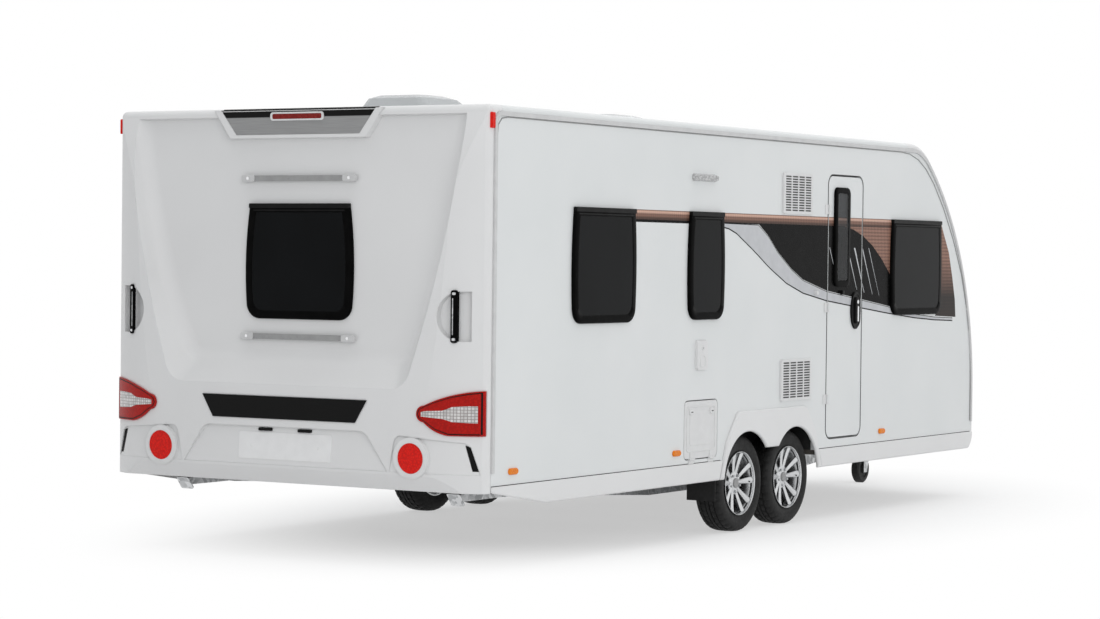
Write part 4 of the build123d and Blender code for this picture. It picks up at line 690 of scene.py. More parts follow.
def drop_on(tree, heading=1):
    """Places a point by Y and height on a surface, seen from behind (1) or from ahead (-1)."""
    def place(y, z, out):
        start = Vector((-FAR_OFF * heading, y, z))
        spot, *_ = tree.ray_cast(start, Vector((heading, 0, 0)))
        return spot - Vector((heading * out, 0, 0))
    return place


def patch(mesh, rows, place, low, high):
    """Thin sheet over a grid of points, with closed edges."""
    sheets = [[[mesh.verts.new(place(a, b, out)) for a, b in row] for row in rows] for out in (low, high)]
    for sheet in sheets:
        for first, second in zip(sheet, sheet[1:]):
            for k in range(len(first) - 1):
                mesh.faces.new((first[k], first[k + 1], second[k + 1], second[k]))
    under, over = sheets
    edges = [(under[end], over[end]) for end in (0, -1)]
    edges += [([row[end] for row in under], [row[end] for row in over]) for end in (0, -1)]
    for lower, upper in edges:
        for k in range(len(lower) - 1):
            mesh.faces.new((lower[k], lower[k + 1], upper[k + 1], upper[k]))


rear_surface = drop_on(surface_of("rear_panel"))
lamp_surface = drop_on(surface_of("rear_lamps", "rear_panel"))
print("bumper surface at X", round(rear_surface(0, 0.6, 0).x, 3))

# %% [markdown]
# The long stripe and the sweeping band are printed film. Painting them by shader on the wall would
# tie them to the wall's own mesh. Thin plates instead can be cut where the door opens, so the door
# carries its own share away when it swings. The copper ones have a woven print: a fine checker,
# turned by 45 degrees, that darkens downwards.

# %% Film finishes
COPPER_DARK, COPPER_LIGHT = (0.16, 0.082, 0.060), (0.34, 0.185, 0.135)
PAINTED_PEACH_HIGHLIGHT = (0.36, 0.25, 0.20)
WEAVE = 0.016
STRIPE_LOW, STRIPE_HIGH = 1.857, 1.912


def copper(name, low, high, shades, painted_glint=None):
    """Woven copper print, shaded between two heights. A painted highlight is added over it as a bright line.
    """
    material, tree, shader = new_finish(name, Metallic=0.2, Roughness=0.42, Specular_IOR_Level=0.15)
    weave_turn = tree.nodes.new("ShaderNodeMapping")
    weave_turn.inputs["Rotation"].default_value = (0, radians(45), 0)
    weave = tree.nodes.new("ShaderNodeTexChecker")
    weave.inputs["Scale"].default_value = 1 / WEAVE
    weave.inputs["Color1"].default_value = (*COPPER_DARK, 1)
    weave.inputs["Color2"].default_value = (*COPPER_LIGHT, 1)
    tree.links.new(object_place(tree), weave_turn.inputs["Vector"])
    tree.links.new(weave_turn.outputs["Vector"], weave.inputs["Vector"])
    rise = height_band(tree, low, high)
    colour = blended(tree, weave.outputs["Color"], ramp(tree, rise, shades))
    if painted_glint:
        colour = blended(tree, colour, ramp(tree, rise, painted_glint), "ADD")
    tree.links.new(colour, shader.inputs["Base Color"])
    return material


STRIPE_SHADES = ((0.0, 0.18), (0.30, 0.60), (0.6, 1.0), (1.0, 0.8))
# The glint is a painted highlight: a peach band across the upper part of the stripe.
STRIPE_PAINTED_GLINT = ((0.55, 0.0), (0.74, PAINTED_PEACH_HIGHLIGHT), (0.88, PAINTED_PEACH_HIGHLIGHT), (0.97, 0.0))
copper_stripe = copper("copper_stripe", STRIPE_LOW, STRIPE_HIGH, STRIPE_SHADES, STRIPE_PAINTED_GLINT)
copper_film = copper("copper_film", 1.25, 1.92, ((0.22, 0.05), (0.42, 0.55), (0.62, 1.0)))
SILVER_DARK, SILVER_LIGHT = (0.54, 0.55, 0.57), (0.60, 0.61, 0.63)
silver_film = moulded_plastic("silver_film", SILVER_DARK, SILVER_LIGHT, 0.34, relief=0.00002, shine=0.25)
black_film = moulded_plastic("black_film", 0.003, 0.006, 0.26, relief=0.00002, shine=0.03)
print("made the film finishes")

# %% [markdown]
# Film is cut to a traced outline, so each shape here is a list of points along its edge. A spline
# would need fewer points, but straight runs can be cut exactly at the edges of the door.

# %% Film outlines
# Columns of every outline: station, height
BAND_OUTER = (
    (2.535, 1.832), (2.62, 1.822), (2.719, 1.795), (2.936, 1.698), (3.158, 1.590), (3.383, 1.498),
    (3.614, 1.436), (3.943, 1.387), (4.484, 1.334), (4.921, 1.293), (5.300, 1.262), (5.624, 1.244),
    (5.935, 1.235),
)
BAND_INNER = (
    (2.535, 1.852), (3.000, 1.848), (3.130, 1.781), (3.265, 1.681), (3.449, 1.580), (3.612, 1.513),
    (3.941, 1.444), (4.483, 1.383), (4.895, 1.336), (5.060, 1.302), (5.300, 1.284), (5.624, 1.262),
    (5.935, 1.252),
)
FIELD = (
    (3.000, 1.855), (3.130, 1.785), (3.265, 1.685), (3.449, 1.584), (3.612, 1.517), (3.941, 1.448),
    (4.483, 1.387), (4.910, 1.338), (4.918, 1.855),
)
NOSE_END = (
    (5.686, 1.912), (5.712, 1.912), (5.790, 1.800), (5.861, 1.699), (5.925, 1.530), (5.973, 1.378),
    (5.988, 1.256), (5.640, 1.268), (5.675, 1.298), (5.696, 1.345), (5.700, 1.600),
)
WEDGE = (
    (4.180, 1.855), (4.330, 1.838), (4.480, 1.797), (4.620, 1.737), (4.760, 1.655), (4.905, 1.545),
    (4.920, 1.857),
)
# Columns: first station, last station, foot of the black line below the stripe
STRIPES = ((1.466, 2.146, 1.842), (2.514, 4.925, 1.850))
print(len(STRIPES), "runs of stripe, and a band of", len(BAND_OUTER), "points")

# %% [markdown]
# The black field round the door carries plain slanting pinstripes in silver. Each is a narrow
# four-sided shape that runs forwards as it falls and thins towards its foot.

# %% Pinstripes
# Columns: station at the top, width, lower end
PINSTRIPES = (
    (3.98, 0.008, 1.50), (4.24, 0.014, 1.45), (4.34, 0.020, 1.43), (4.46, 0.014, 1.42), (4.56, 0.008, 1.41),
)
SLANT, PIN_TOP = 0.55, 1.72


def pinstripe(top, width, low):
    """Outline of one pinstripe."""
    lean = SLANT * (PIN_TOP - low)
    return [(top, PIN_TOP), (top + width, PIN_TOP), (top + width / 3 + lean, low), (top + lean, low)]


print(len(PINSTRIPES), "pinstripes")

# %% [markdown]
# Cutting the film is plain geometry. A bar and a line along an edge make the simple shapes, and a
# clip keeps what lies between two stations, as a knife does along the door's edges.

# %% Cutting helpers
def bar(first, last, low, high):
    """Outline of an upright rectangle."""
    return [(first, low), (last, low), (last, high), (first, high)]


def keyline(edge, width):
    """Narrow line along the underside of an edge."""
    return [(a, b - width) for a, b in edge] + [(a, b) for a, b in reversed(edge)]


def clip(outline, first, last):
    """Part of an outline between two stations."""
    for limit, keep in ((first, 1), (last, -1)):
        kept = []
        for (a, b), (c, d) in zip(outline, outline[1:] + outline[:1]):
            inside, next_inside = keep * (a - limit) >= 0, keep * (c - limit) >= 0
            if inside:
                kept.append((a, b))
            if inside != next_inside:
                share = (limit - a) / (c - a)
                kept.append((limit, b + share * (d - b)))
        outline = kept
        if not outline:
            return outline
    return outline


print("a clip of the wedge has", len(clip(WEDGE, 4.3, 4.6)), "points")

# %% [markdown]
# Each film is laid once on the left and in three shares on the right: behind the door, on it and
# ahead of it. The films lie over each other in the order of their heights, a fraction of a
# millimetre apart, so that no two faces share a plane.

# %% Cut and lay the film
DOOR_LOW, DOOR_HIGH = 3.964, 4.461
SEAM_ON_DOOR, SEAM_ON_WALL = 0.004, 0.006
PAST_NOSE = 9.0
runs = [bar(first, last, STRIPE_LOW, STRIPE_HIGH) for first, last, _ in STRIPES]
dark_lines = [keyline(BAND_OUTER, 0.007), keyline(BAND_INNER, 0.004)]
dark_lines += [bar(first, last, low, STRIPE_LOW) for first, last, low in STRIPES]
# Columns: name, finish, slot, outlines, height above the wall
FILM = (
    ("field", black_film, "dark_plastic", [FIELD], 0.0006),
    ("band", silver_film, "alloy", [BAND_OUTER + BAND_INNER[::-1]], 0.0008),
    ("keyline", black_film, "dark_plastic", dark_lines, 0.0010),
    ("stripe", copper_stripe, "dark_plastic", runs, 0.0009),
    ("wedge", copper_film, "dark_plastic", [WEDGE], 0.0011),
    ("nose_end", copper_film, "dark_plastic", [NOSE_END], 0.0007),
    ("pinstripes", silver_film, "alloy", [pinstripe(*row) for row in PINSTRIPES], 0.0012),
)
# Columns: name, side, body, first station, last station
SHARES = (
    ("left", LEFT, "caravan", 0.0, PAST_NOSE),
    ("right_rear", RIGHT, "caravan", 0.0, DOOR_LOW - SEAM_ON_WALL),
    ("right_door", RIGHT, "entry_door", DOOR_LOW + SEAM_ON_DOOR, DOOR_HIGH - SEAM_ON_DOOR),
    ("right_front", RIGHT, "caravan", DOOR_HIGH + SEAM_ON_WALL, PAST_NOSE),
)
film_count = 0
for share, side, body, first, last in SHARES:
    for name, finish, slot, outlines, height in FILM:
        cuts = [cut for cut in (clip(outline, first, last) for outline in outlines) if len(cut) > 2]
        if cuts:
            mesh = bmesh.new()
            for cut in cuts:
                prism(mesh, cut, on_side(side), 0.0, height)
            finish_piece(f"film_{name}_{share}", mesh, finish, body)
            film_count += 1
print("laid", film_count, "pieces of film")

# %% [markdown]
# Every window is a double pane in a black rim. Its outline has square upper corners under the hinge
# rail, sides that bow out, and round lower corners. One curve through three widths makes the bow, so
# that rim, pane and blind can all use the same outline at their own inset.

# %% Window outlines
WINDOW_TOP, WINDOW_CORNER, FOOT_TUCK = 1.910, 0.085, 0.006
BOW_STEPS, CORNER_STEPS = 8, 7
# Columns: middle, width at the top, width at the belly, height of the lower edge
SIDE_PANES = (
    (1.155, 0.646, 0.680, 1.280), (2.330, 0.396, 0.434, 1.284), (5.300, 0.778, 0.810, 1.280),
)
REAR_PANE = (0.0, 0.658, 0.708, 1.290)


def window_outline(middle, width, belly, low, inset):
    """Outline of a window at an inset from its edge."""
    top, low, corner = WINDOW_TOP - inset, low + inset, WINDOW_CORNER - inset / 2
    half, bow = width / 2 - inset, belly / 2 - inset
    foot = bow - FOOT_TUCK
    side = []
    for k in range(BOW_STEPS + 1):
        t = k / BOW_STEPS
        a = half * (1 - t) * (1 - 2 * t) + bow * 4 * t * (1 - t) + foot * t * (2 * t - 1)
        side.append((a, top + (low + corner - top) * t))
    for k in range(1, CORNER_STEPS + 1):
        t = radians(90 * k / CORNER_STEPS)
        side.append((foot - corner + corner * cos(t), low + corner - corner * sin(t)))
    return [(middle + a, b) for a, b in side] + [(middle - a, b) for a, b in reversed(side)]


print("a window outline has", len(window_outline(*REAR_PANE, 0.0)), "points")

# %% [markdown]
# Behind the rim come the pane, the catches and the frame of a roller blind, and a hinge rail covers
# the top. The rim could be a dark zone in one solid's shader, but drawn as a rounded section that
# runs round the pane, it catches its own light. One function makes the meshes for a set of windows.

# %% Window parts
# Columns of a rim's section: inset from the outline, distance out from the wall
RIM_SECTION = (
    (0.0, 0.0), (0.0, 0.012), (0.003, 0.0175), (0.009, 0.0200), (0.043, 0.0195), (0.046, 0.0170),
    (0.046, 0.0),
)
PANE_INSET, PANE_IN, PANE_OUT = 0.045, 0.004, 0.0178
# Columns: drop from the top, width past the window's, height, corner, distance in, distance out
RAIL_STRIPS = ((0.010, 0.004, 0.026, 0.004, 0.0, 0.0236), (0.034, -0.05, 0.008, 0.003, 0.012, 0.0211))
# Columns: end of the window (0 for its middle), rise from the lower edge, width, height
CATCHES = ((0, 0.066, 0.075, 0.022), (-1, 0.20, 0.022, 0.085), (1, 0.20, 0.022, 0.085))
CATCH_INSET, CATCH_CORNER, CATCH_DEPTH = 0.064, 0.010, 0.022
BLIND_OUTER, BLIND_INNER, BLIND_LOW, BLIND_HIGH = 0.023, 0.075, -0.029, -0.024


def window_parts(windows):
    """Meshes of the rims, panes, rails, catches and blinds. Columns of windows: outline values, placing."""
    rims, panes, rails, catches, blinds = (bmesh.new() for _ in range(5))
    for pane, place in windows:
        middle, width, belly, low = pane
        hoop(rims, [(window_outline(*pane, inset), out) for inset, out in RIM_SECTION], place)
        prism(panes, window_outline(*pane, PANE_INSET), place, PANE_IN, PANE_OUT)
        for drop, extra, tall, corner, near, far in RAIL_STRIPS:
            strip = rounded_box(middle, WINDOW_TOP - drop, width + extra, tall, corner, 2)
            prism(rails, strip, place, near, far)
        for end, rise, wide, tall in CATCHES:
            a = middle + end * (belly / 2 - CATCH_INSET)
            prism(catches, rounded_box(a, low + rise, wide, tall, CATCH_CORNER, 4), place, -CATCH_DEPTH, 0.0)
        outer, inner = window_outline(*pane, BLIND_OUTER), window_outline(*pane, BLIND_INNER)
        ring(blinds, outer, inner, place, BLIND_LOW, BLIND_HIGH)
    return rims, panes, rails, catches, blinds


print("a window has", 3 + len(RAIL_STRIPS) + len(CATCHES), "parts")

# %% [markdown]
# The side windows come in pairs, and the tail has one. In CAD a window is one plate, rim and pane
# together, so a finer pane takes its place, and the rim, rail, catches and blind join it.

# %% Windows
TAIL_PANE_DEPTH = 0.024
tail_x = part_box("rear_window")[0].x + TAIL_PANE_DEPTH
# Columns: name, CAD node, windows
WINDOW_SETS = (
    ("side", "side_windows", [(pane, on_side(side)) for pane in SIDE_PANES for side in (RIGHT, LEFT)]),
    ("tail", "rear_window", [(REAR_PANE, on_rear(tail_x))]),
)
for name, node, windows in WINDOW_SETS:
    rims, panes, rails, catches, blinds = window_parts(windows)
    finish_piece(f"frames_{name}", rims, black_gloss, "caravan")
    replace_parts(finish_piece(f"panes_{name}", panes, tinted_pane, "caravan", 0.001), node)
    finish_piece(f"hinge_rails_{name}", rails, dark_plastic, "caravan", 0.0015)
    finish_piece(f"catches_{name}", catches, dark_plastic, "caravan", 0.002)
    finish_piece(f"blind_frames_{name}", blinds, grey_plastic, "caravan", 0.0015)
print("dressed", sum(len(windows) for _, _, windows in WINDOW_SETS), "windows")

# %% [markdown]
# The nose window follows the curve of the front moulding. Its border is dropped onto the pane from
# ahead, so that it takes the same curve, and two slim bars divide the pane as seen from outside.

# %% Nose window border
EDGE_GAP, BORDER, EDGE_CORNER, BORDER_CORNER = 0.004, 0.11, 0.108, 0.07
BAR_Y, BAR_HALF, BAR_END, BAR_STEPS = 0.30, 0.022, 0.05, 12
nose_low, nose_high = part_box("front_window")
nose_z = (nose_low.z + nose_high.z) / 2
nose_width, nose_height = nose_high.y - nose_low.y, nose_high.z - nose_low.z
nose_pane = drop_on(surface_of("front_window"), -1)
outer = rounded_box(0, nose_z, nose_width - EDGE_GAP, nose_height - EDGE_GAP, EDGE_CORNER, 10)
inner = rounded_box(0, nose_z, nose_width - BORDER, nose_height - BORDER, BORDER_CORNER, 10)
mesh = bmesh.new()
ring(mesh, outer, inner, nose_pane, -0.001, 0.002)
finish_piece("border_nose", mesh, black_gloss, "caravan")
bar_heights = [
    nose_low.z + BAR_END + (nose_height - 2 * BAR_END) * k / BAR_STEPS for k in range(BAR_STEPS + 1)
]
mesh = bmesh.new()
for y in (-BAR_Y, BAR_Y):
    rows = [[(y - BAR_HALF, z), (y + BAR_HALF, z)] for z in bar_heights]
    patch(mesh, rows, nose_pane, -0.001, 0.0018)
finish_piece("bars_nose", mesh, black_gloss, "caravan")
print("nose window", round(nose_width, 3), "by", round(nose_height, 3))

# %% [markdown]
# Round the door runs a black rubber seal, pressed onto the edge of the wall. Seen from outside it is
# the thin dark line that draws the door. It stays with the wall when the door opens.

# %% Door seal
DOOR_FOOT, DOOR_HEAD, DOOR_RADIUS = 0.515, 2.172, 0.060
SEAL_GAP, SEAL_WIDTH, SEAL_LOW, SEAL_HIGH = 0.0062, 0.0055, -0.004, 0.0018
door_station, door_z = (DOOR_LOW + DOOR_HIGH) / 2, (DOOR_FOOT + DOOR_HEAD) / 2
door_side = on_side(RIGHT)


def door_outline(grow):
    """Outline of the door, grown on every side."""
    width, height = DOOR_HIGH - DOOR_LOW + 2 * grow, DOOR_HEAD - DOOR_FOOT + 2 * grow
    return rounded_box(door_station, door_z, width, height, DOOR_RADIUS + grow, 10)


mesh = bmesh.new()
ring(mesh, door_outline(SEAL_GAP + SEAL_WIDTH), door_outline(SEAL_GAP), door_side, SEAL_LOW, SEAL_HIGH)
finish_piece("door_seal", mesh, flap_rubber, "caravan", 0.0008)
print("door seal", SEAL_WIDTH, "m wide")

# %% [markdown]
# The door has a narrow window of its own. Behind the pane hangs a grey blind, drawn down nearly the
# full height, so the pane is tinted much less than the others and shows it. All of it rides on the
# door.

# %% Door window
# Columns: inset from the outline, corner radius, share of the way out
DOOR_RIM = (
    (0.0, 0.045, 0.0), (0.0, 0.045, 0.55), (0.003, 0.043, 0.85), (0.009, 0.040, 0.98), (0.036, 0.020, 0.96),
    (0.039, 0.018, 0.0),
)
DOOR_PANE_INSET, DOOR_PANE_CORNER, DOOR_PANE_SHARE = 0.038, 0.019, 0.85
BLIND_RISE, BLIND_SIDE, BLIND_END, BLIND_CORNER = 0.01, 0.015, 0.025, 0.01
pane_low, pane_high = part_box("door_window")
door_pane = -pane_low.y - half_width
pane_station, pane_z = (pane_low.x + pane_high.x) / 2 - rear_corner, (pane_low.z + pane_high.z) / 2
pane_wide, pane_tall = pane_high.x - pane_low.x, pane_high.z - pane_low.z


def door_pane_outline(inset, corner):
    """Outline of the door's window at an inset from its edge."""
    return rounded_box(pane_station, pane_z, pane_wide - 2 * inset, pane_tall - 2 * inset, corner)


section = [(door_pane_outline(inset, corner), share * door_pane) for inset, corner, share in DOOR_RIM]
mesh = bmesh.new()
hoop(mesh, section, door_side)
finish_piece("frame_door", mesh, black_gloss, "entry_door")
mesh = bmesh.new()
prism(mesh, door_pane_outline(DOOR_PANE_INSET, DOOR_PANE_CORNER), door_side, 0.0, DOOR_PANE_SHARE * door_pane)
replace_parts(finish_piece("pane_door", mesh, door_tint, "entry_door", 0.001), "door_window")
blind_wide, blind_tall = pane_wide - 2 * BLIND_SIDE, pane_tall - 2 * BLIND_END
blind = rounded_box(pane_station, pane_z + BLIND_RISE, blind_wide, blind_tall, BLIND_CORNER)
mesh = bmesh.new()
prism(mesh, blind, door_side, -0.012, -0.008)
finish_piece("blind_door", mesh, grey_plastic, "entry_door")
print("door pane stands", round(door_pane, 4), "m out")

# %% [markdown]
# The door handle is a black bowl in a dark rim, with two bright parts: a round lock above and a
# narrow lever below. The lock is turned, and the rest are flat plates with rounded edges.

# %% Door handle
HANDLE_STATION, HANDLE_Z, HANDLE_OUT = 4.367, 1.318, 0.024
# Columns of every turned profile: distance along the axis, radius
DOOR_LOCK = ((0.0, 0.013), (0.0015, 0.013), (0.0024, 0.011), (0.0024, 0.0))
LOCK_RISE, LOCK_SUNK = 0.055, 0.0012
LEVER_SHIFT, LEVER_DROP, LEVER_WIDE, LEVER_TALL, LEVER_CORNER = 0.004, 0.022, 0.018, 0.10, 0.008
BOWL_WIDE, BOWL_TALL, BOWL_CORNER, BOWL_RIM = 0.124, 0.224, 0.061, 0.009
mesh = bmesh.new()
lathe(mesh, DOOR_LOCK, door_side(HANDLE_STATION, HANDLE_Z + LOCK_RISE, HANDLE_OUT - LOCK_SUNK), (0, -1, 0))
lever = rounded_box(
    HANDLE_STATION + LEVER_SHIFT, HANDLE_Z - LEVER_DROP, LEVER_WIDE, LEVER_TALL, LEVER_CORNER, 5
)
prism(mesh, lever, door_side, HANDLE_OUT - 0.002, HANDLE_OUT + 0.0012)
finish_piece("handle_lock_parts", mesh, bright_steel, "entry_door", 0.0015)
outer, inner = (
    rounded_box(HANDLE_STATION, HANDLE_Z, BOWL_WIDE - 2 * rim, BOWL_TALL - 2 * rim, BOWL_CORNER - rim, 10)
    for rim in (0.0, BOWL_RIM)
)
mesh = bmesh.new()
ring(mesh, outer, inner, door_side, 0.0085, 0.0120)
finish_piece("handle_rim", mesh, dark_plastic, "entry_door", 0.0012)
print("handle at", HANDLE_STATION, HANDLE_Z)

# %% [markdown]
# Small fittings give the wall its scale. The flap over the water point has a lock above and a finger
# recess below, drawn by its raised rim. The keyhole is a thin dark plate of painted shade that stands
# proud of the lock by less than the eye can tell.

# %% Water flap
FLAP_STATION, FLAP_Z = 2.285, 1.078
FLAP_LOCK = ((0.0, 0.014), (0.004, 0.014), (0.006, 0.011), (0.006, 0.0))
FLAP_LOCK_Z, FINGER_Z = FLAP_Z + 0.042, FLAP_Z - 0.035
flap_out = -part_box("service_flap")[0].y - half_width
outer = rounded_box(FLAP_STATION, FINGER_Z, 0.062, 0.070, 0.016)
inner = rounded_box(FLAP_STATION, FINGER_Z, 0.050, 0.058, 0.012)
mesh = bmesh.new()
ring(mesh, outer, inner, door_side, flap_out - 0.001, flap_out + 0.002)
lathe(mesh, FLAP_LOCK, door_side(FLAP_STATION, FLAP_LOCK_Z, flap_out - 0.001), (0, -1, 0))
finish_piece("flap_fittings", mesh, white_plastic, "caravan", 0.001)
keyhole_shade = rounded_box(FLAP_STATION, FLAP_LOCK_Z, 0.003, 0.011, 0.001, 2)
mesh = bmesh.new()
prism(mesh, keyhole_shade, door_side, flap_out + 0.004, flap_out + 0.0055)
finish_piece("flap_keyhole_shade", mesh, dark_plastic, "caravan")
print("water flap stands", round(flap_out, 4), "m out")

# %% [markdown]
# The service hatch below it is a pressed panel with two turn catches. A raised frame and a raised
# field are enough to read as pressed, and they ride on the hatch, so they fold down with it.

# %% Service hatch
HATCH_STATION, HATCH_Z, HATCH_WIDE, HATCH_TALL = 2.300, 0.645, 0.400, 0.334
PANEL_Z, TURN_CATCH_Z = HATCH_Z + 0.006, HATCH_Z + 0.105
TURN_CATCHES = (HATCH_STATION - 0.125, HATCH_STATION + 0.125)
# Columns: taken off the hatch's width, taken off its height, corner
PRESSED = ((0.052, 0.066, 0.024), (0.068, 0.082, 0.018), (0.13, 0.14, 0.02))
outer, inner, field = (
    rounded_box(HATCH_STATION, PANEL_Z, HATCH_WIDE - off_width, HATCH_TALL - off_height, corner)
    for off_width, off_height, corner in PRESSED
)
mesh = bmesh.new()
ring(mesh, outer, inner, door_side, -0.001, 0.003)
prism(mesh, field, door_side, -0.001, 0.0018)
for station in TURN_CATCHES:
    prism(mesh, rounded_box(station, TURN_CATCH_Z, 0.046, 0.032, 0.010), door_side, -0.001, 0.011)
finish_piece("hatch_panel", mesh, white_plastic, "service_hatch", 0.0015)
# The slots in the turn catches are thin dark plates of painted shade.
mesh = bmesh.new()
for station in TURN_CATCHES:
    prism(mesh, rounded_box(station, TURN_CATCH_Z, 0.024, 0.005, 0.002, 3), door_side, 0.010, 0.0118)
finish_piece("hatch_catch_slot_shade", mesh, dark_plastic, "service_hatch")
print("hatch with", len(TURN_CATCHES), "turn catches")

# %% [markdown]
# Behind the louvres of the two fridge vents lies shade. The CAD slots are shallow and white, so a
# dark plate of painted shade is set in the bed of each slot, and the louvres between them stay white.

# %% Vent slots
# Columns: middle station, height, width, height of the louvred field
VENTS = ((3.516, 2.048, 0.403, 0.253), (3.520, 0.898, 0.420, 0.257))
VENT_ROWS, VENT_COLUMNS = 14, 4
VENT_SIDE, VENT_END, POST, LOUVRE = 0.040, 0.030, 0.015, 0.0078
SLOT_LOW, SLOT_HIGH, SLOT_CORNER = 0.003, 0.009, 0.001
mesh = bmesh.new()
for station, z, width, height in VENTS:
    pitch, rise = (width - VENT_SIDE) / VENT_COLUMNS, (height - VENT_END) / VENT_ROWS
    for column in range(VENT_COLUMNS):
        for row in range(VENT_ROWS):
            a = station + (column - (VENT_COLUMNS - 1) / 2) * pitch
            b = z + (row - (VENT_ROWS - 1) / 2) * rise
            opening = rounded_box(a, b, pitch - POST, rise - LOUVRE, SLOT_CORNER, 1)
            prism(mesh, opening, door_side, SLOT_LOW, SLOT_HIGH)
finish_piece("vent_slot_shade", mesh, slot_painted_shade, "caravan")
print("vent slots", len(VENTS) * VENT_ROWS * VENT_COLUMNS)

# %% [markdown]
# A grey strip is pressed into each awning rail to hide its screws. It could be swept in mesh code,
# but a curve with a round section does that by itself. Its points run along the middle of the rail,
# up the tail, over the roof's edge and down the nose.

# %% Rail strips
# Columns: station, height
RAIL_LINE = (
    (0.058, 0.530), (0.058, 2.250), (0.066, 2.320), (0.100, 2.354), (0.160, 2.362), (2.500, 2.362),
    (5.060, 2.362), (5.190, 2.354), (5.330, 2.320), (5.455, 2.262), (5.590, 2.165), (5.760, 2.000),
    (5.930, 1.790), (6.080, 1.550), (6.180, 1.310), (6.240, 1.080), (6.257, 0.900), (6.257, 0.530),
)
STRIP_RADIUS, STRIP_OUT = 0.0032, 0.0015
SIDES = ((RIGHT, "right"), (LEFT, "left"))
for side, side_name in SIDES:
    path = bpy.data.curves.new(f"rail_strip_{side_name}", "CURVE")
    path.dimensions = "3D"
    path.bevel_depth, path.bevel_resolution, path.resolution_u = STRIP_RADIUS, 2, 6
    spline = path.splines.new("POLY")
    spline.points.add(len(RAIL_LINE) - 1)
    for point, (station, z) in zip(spline.points, RAIL_LINE):
        point.co = (*on_side(side)(station, z, STRIP_OUT), 1)
    path.materials.append(grey_plastic)
    strip = bpy.data.objects.new(f"rail_strip_{side_name}", path)
    scene.collection.objects.link(strip)
    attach(strip, "caravan")
print("rail strips of", len(RAIL_LINE), "points")

# %% [markdown]
# A tyre is turned, then its tread is cut. Here rings of points are laid round the wheel, and the
# points of the tread blocks sink a few millimetres wherever a cross groove passes. That is
# cheaper than cutting with booleans, and every groove stays clean.

# %% Tyres
TYRE_STEPS, BLOCK_STEPS, GROOVE = 180, 5, 0.0065
# Columns: distance from the middle plane, radius, cross groove pattern (0 none, else its offset)
HALF_TREAD = (
    (-0.066, 0.1785, 0), (-0.0715, 0.186, 0), (-0.0735, 0.196, 0), (-0.0775, 0.203, 0), (-0.0835, 0.222, 0),
    (-0.0870, 0.240, 0), (-0.0850, 0.258, 0), (-0.0800, 0.272, 0), (-0.0765, 0.2775, 1), (-0.0700, 0.2845, 1),
    (-0.0600, 0.2880, 1), (-0.0480, 0.2897, 1), (-0.0475, 0.2825, 0), (-0.0400, 0.2825, 0),
    (-0.0395, 0.2905, 3), (-0.0280, 0.2912, 3), (-0.0160, 0.2913, 3), (-0.0155, 0.2840, 0),
    (-0.0085, 0.2840, 0), (-0.0080, 0.2915, 0),
)
OTHER_HALF = tuple((-a, radius, cross + 1 if cross else 0) for a, radius, cross in reversed(HALF_TREAD))
TREAD = HALF_TREAD + OTHER_HALF
WHEELS = ("rear_left", "rear_right", "front_left", "front_right")


def wheel_place(wheel):
    """Middle of a road wheel, and the way out from the caravan along Y."""
    low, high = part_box(f"tyre_{wheel}")
    return (low + high) / 2, LEFT if "left" in wheel else RIGHT


def tyre_mesh(centre):
    """Tyre round a middle point, with its tread."""
    mesh = bmesh.new()
    rows = []
    for along, radius, cross in TREAD:
        row = []
        for k in range(TYRE_STEPS):
            reach = radius - GROOVE if cross and (k + cross) % BLOCK_STEPS == 0 else radius
            t = 2 * pi * k / TYRE_STEPS
            row.append(mesh.verts.new(centre + Vector((reach * cos(t), along, reach * sin(t)))))
        rows.append(row)
    for first, second in zip(rows, rows[1:] + rows[:1]):
        for k in range(TYRE_STEPS):
            j = (k + 1) % TYRE_STEPS
            mesh.faces.new((first[k], first[j], second[j], second[k]))
    return mesh


for wheel in WHEELS:
    mesh = tyre_mesh(wheel_place(wheel)[0])
    tyre = finish_piece(f"road_tyre_{wheel}", mesh, tyre_rubber, f"wheel_{wheel}")
    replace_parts(tyre, f"tyre_{wheel}")
print("tyres of", len(TREAD) * TYRE_STEPS, "faces each")

# %% [markdown]
# The rims are cast alloy with five pairs of spokes that widen towards a thin lip. The CAD rim has flat
# spokes in a broad flange, so a finer one stands in for it. Each spoke is lofted through a few sections
# with a ridge along its face, which splits the light as a machined spoke does.

# %% Spokes
# Columns: radius, half width, distance out of the ridge, depth
SPOKE = (
    (0.034, 0.0120, 0.0470, 0.022), (0.066, 0.0125, 0.0495, 0.024), (0.105, 0.0150, 0.0560, 0.024),
    (0.145, 0.0182, 0.0640, 0.022), (0.170, 0.0205, 0.0705, 0.018), (0.1845, 0.0220, 0.0745, 0.012),
)
# Columns: share of the half width, drop below the ridge, share of the depth
SPOKE_SECTION = (
    (-1.0, 0.0085, 0.0), (-0.30, 0.0, 0.0), (0.25, 0.0008, 0.0), (1.0, 0.0065, 0.0), (0.80, 0.0, 1.0),
    (-0.80, 0.0, 1.0),
)


def spoke(mesh, centre, outwards, angle, hand):
    """One spoke, mirrored for the other hand of its pair."""
    radial, across = Vector((sin(angle), 0, cos(angle))), Vector((cos(angle), 0, -sin(angle)))
    rows = []
    for radius, half, ridge, depth in SPOKE:
        row = []
        for share, drop, down in SPOKE_SECTION:
            out = Vector((0, outwards * (ridge - drop - down * depth), 0))
            row.append(mesh.verts.new(centre + radial * radius + across * (hand * share * half) + out))
        rows.append(row)
    for first, second in zip(rows, rows[1:]):
        for k in range(len(SPOKE_SECTION)):
            j = (k + 1) % len(SPOKE_SECTION)
            mesh.faces.new((first[k], first[j], second[j], second[k]))
    mesh.faces.new(rows[0])
    mesh.faces.new(rows[-1])


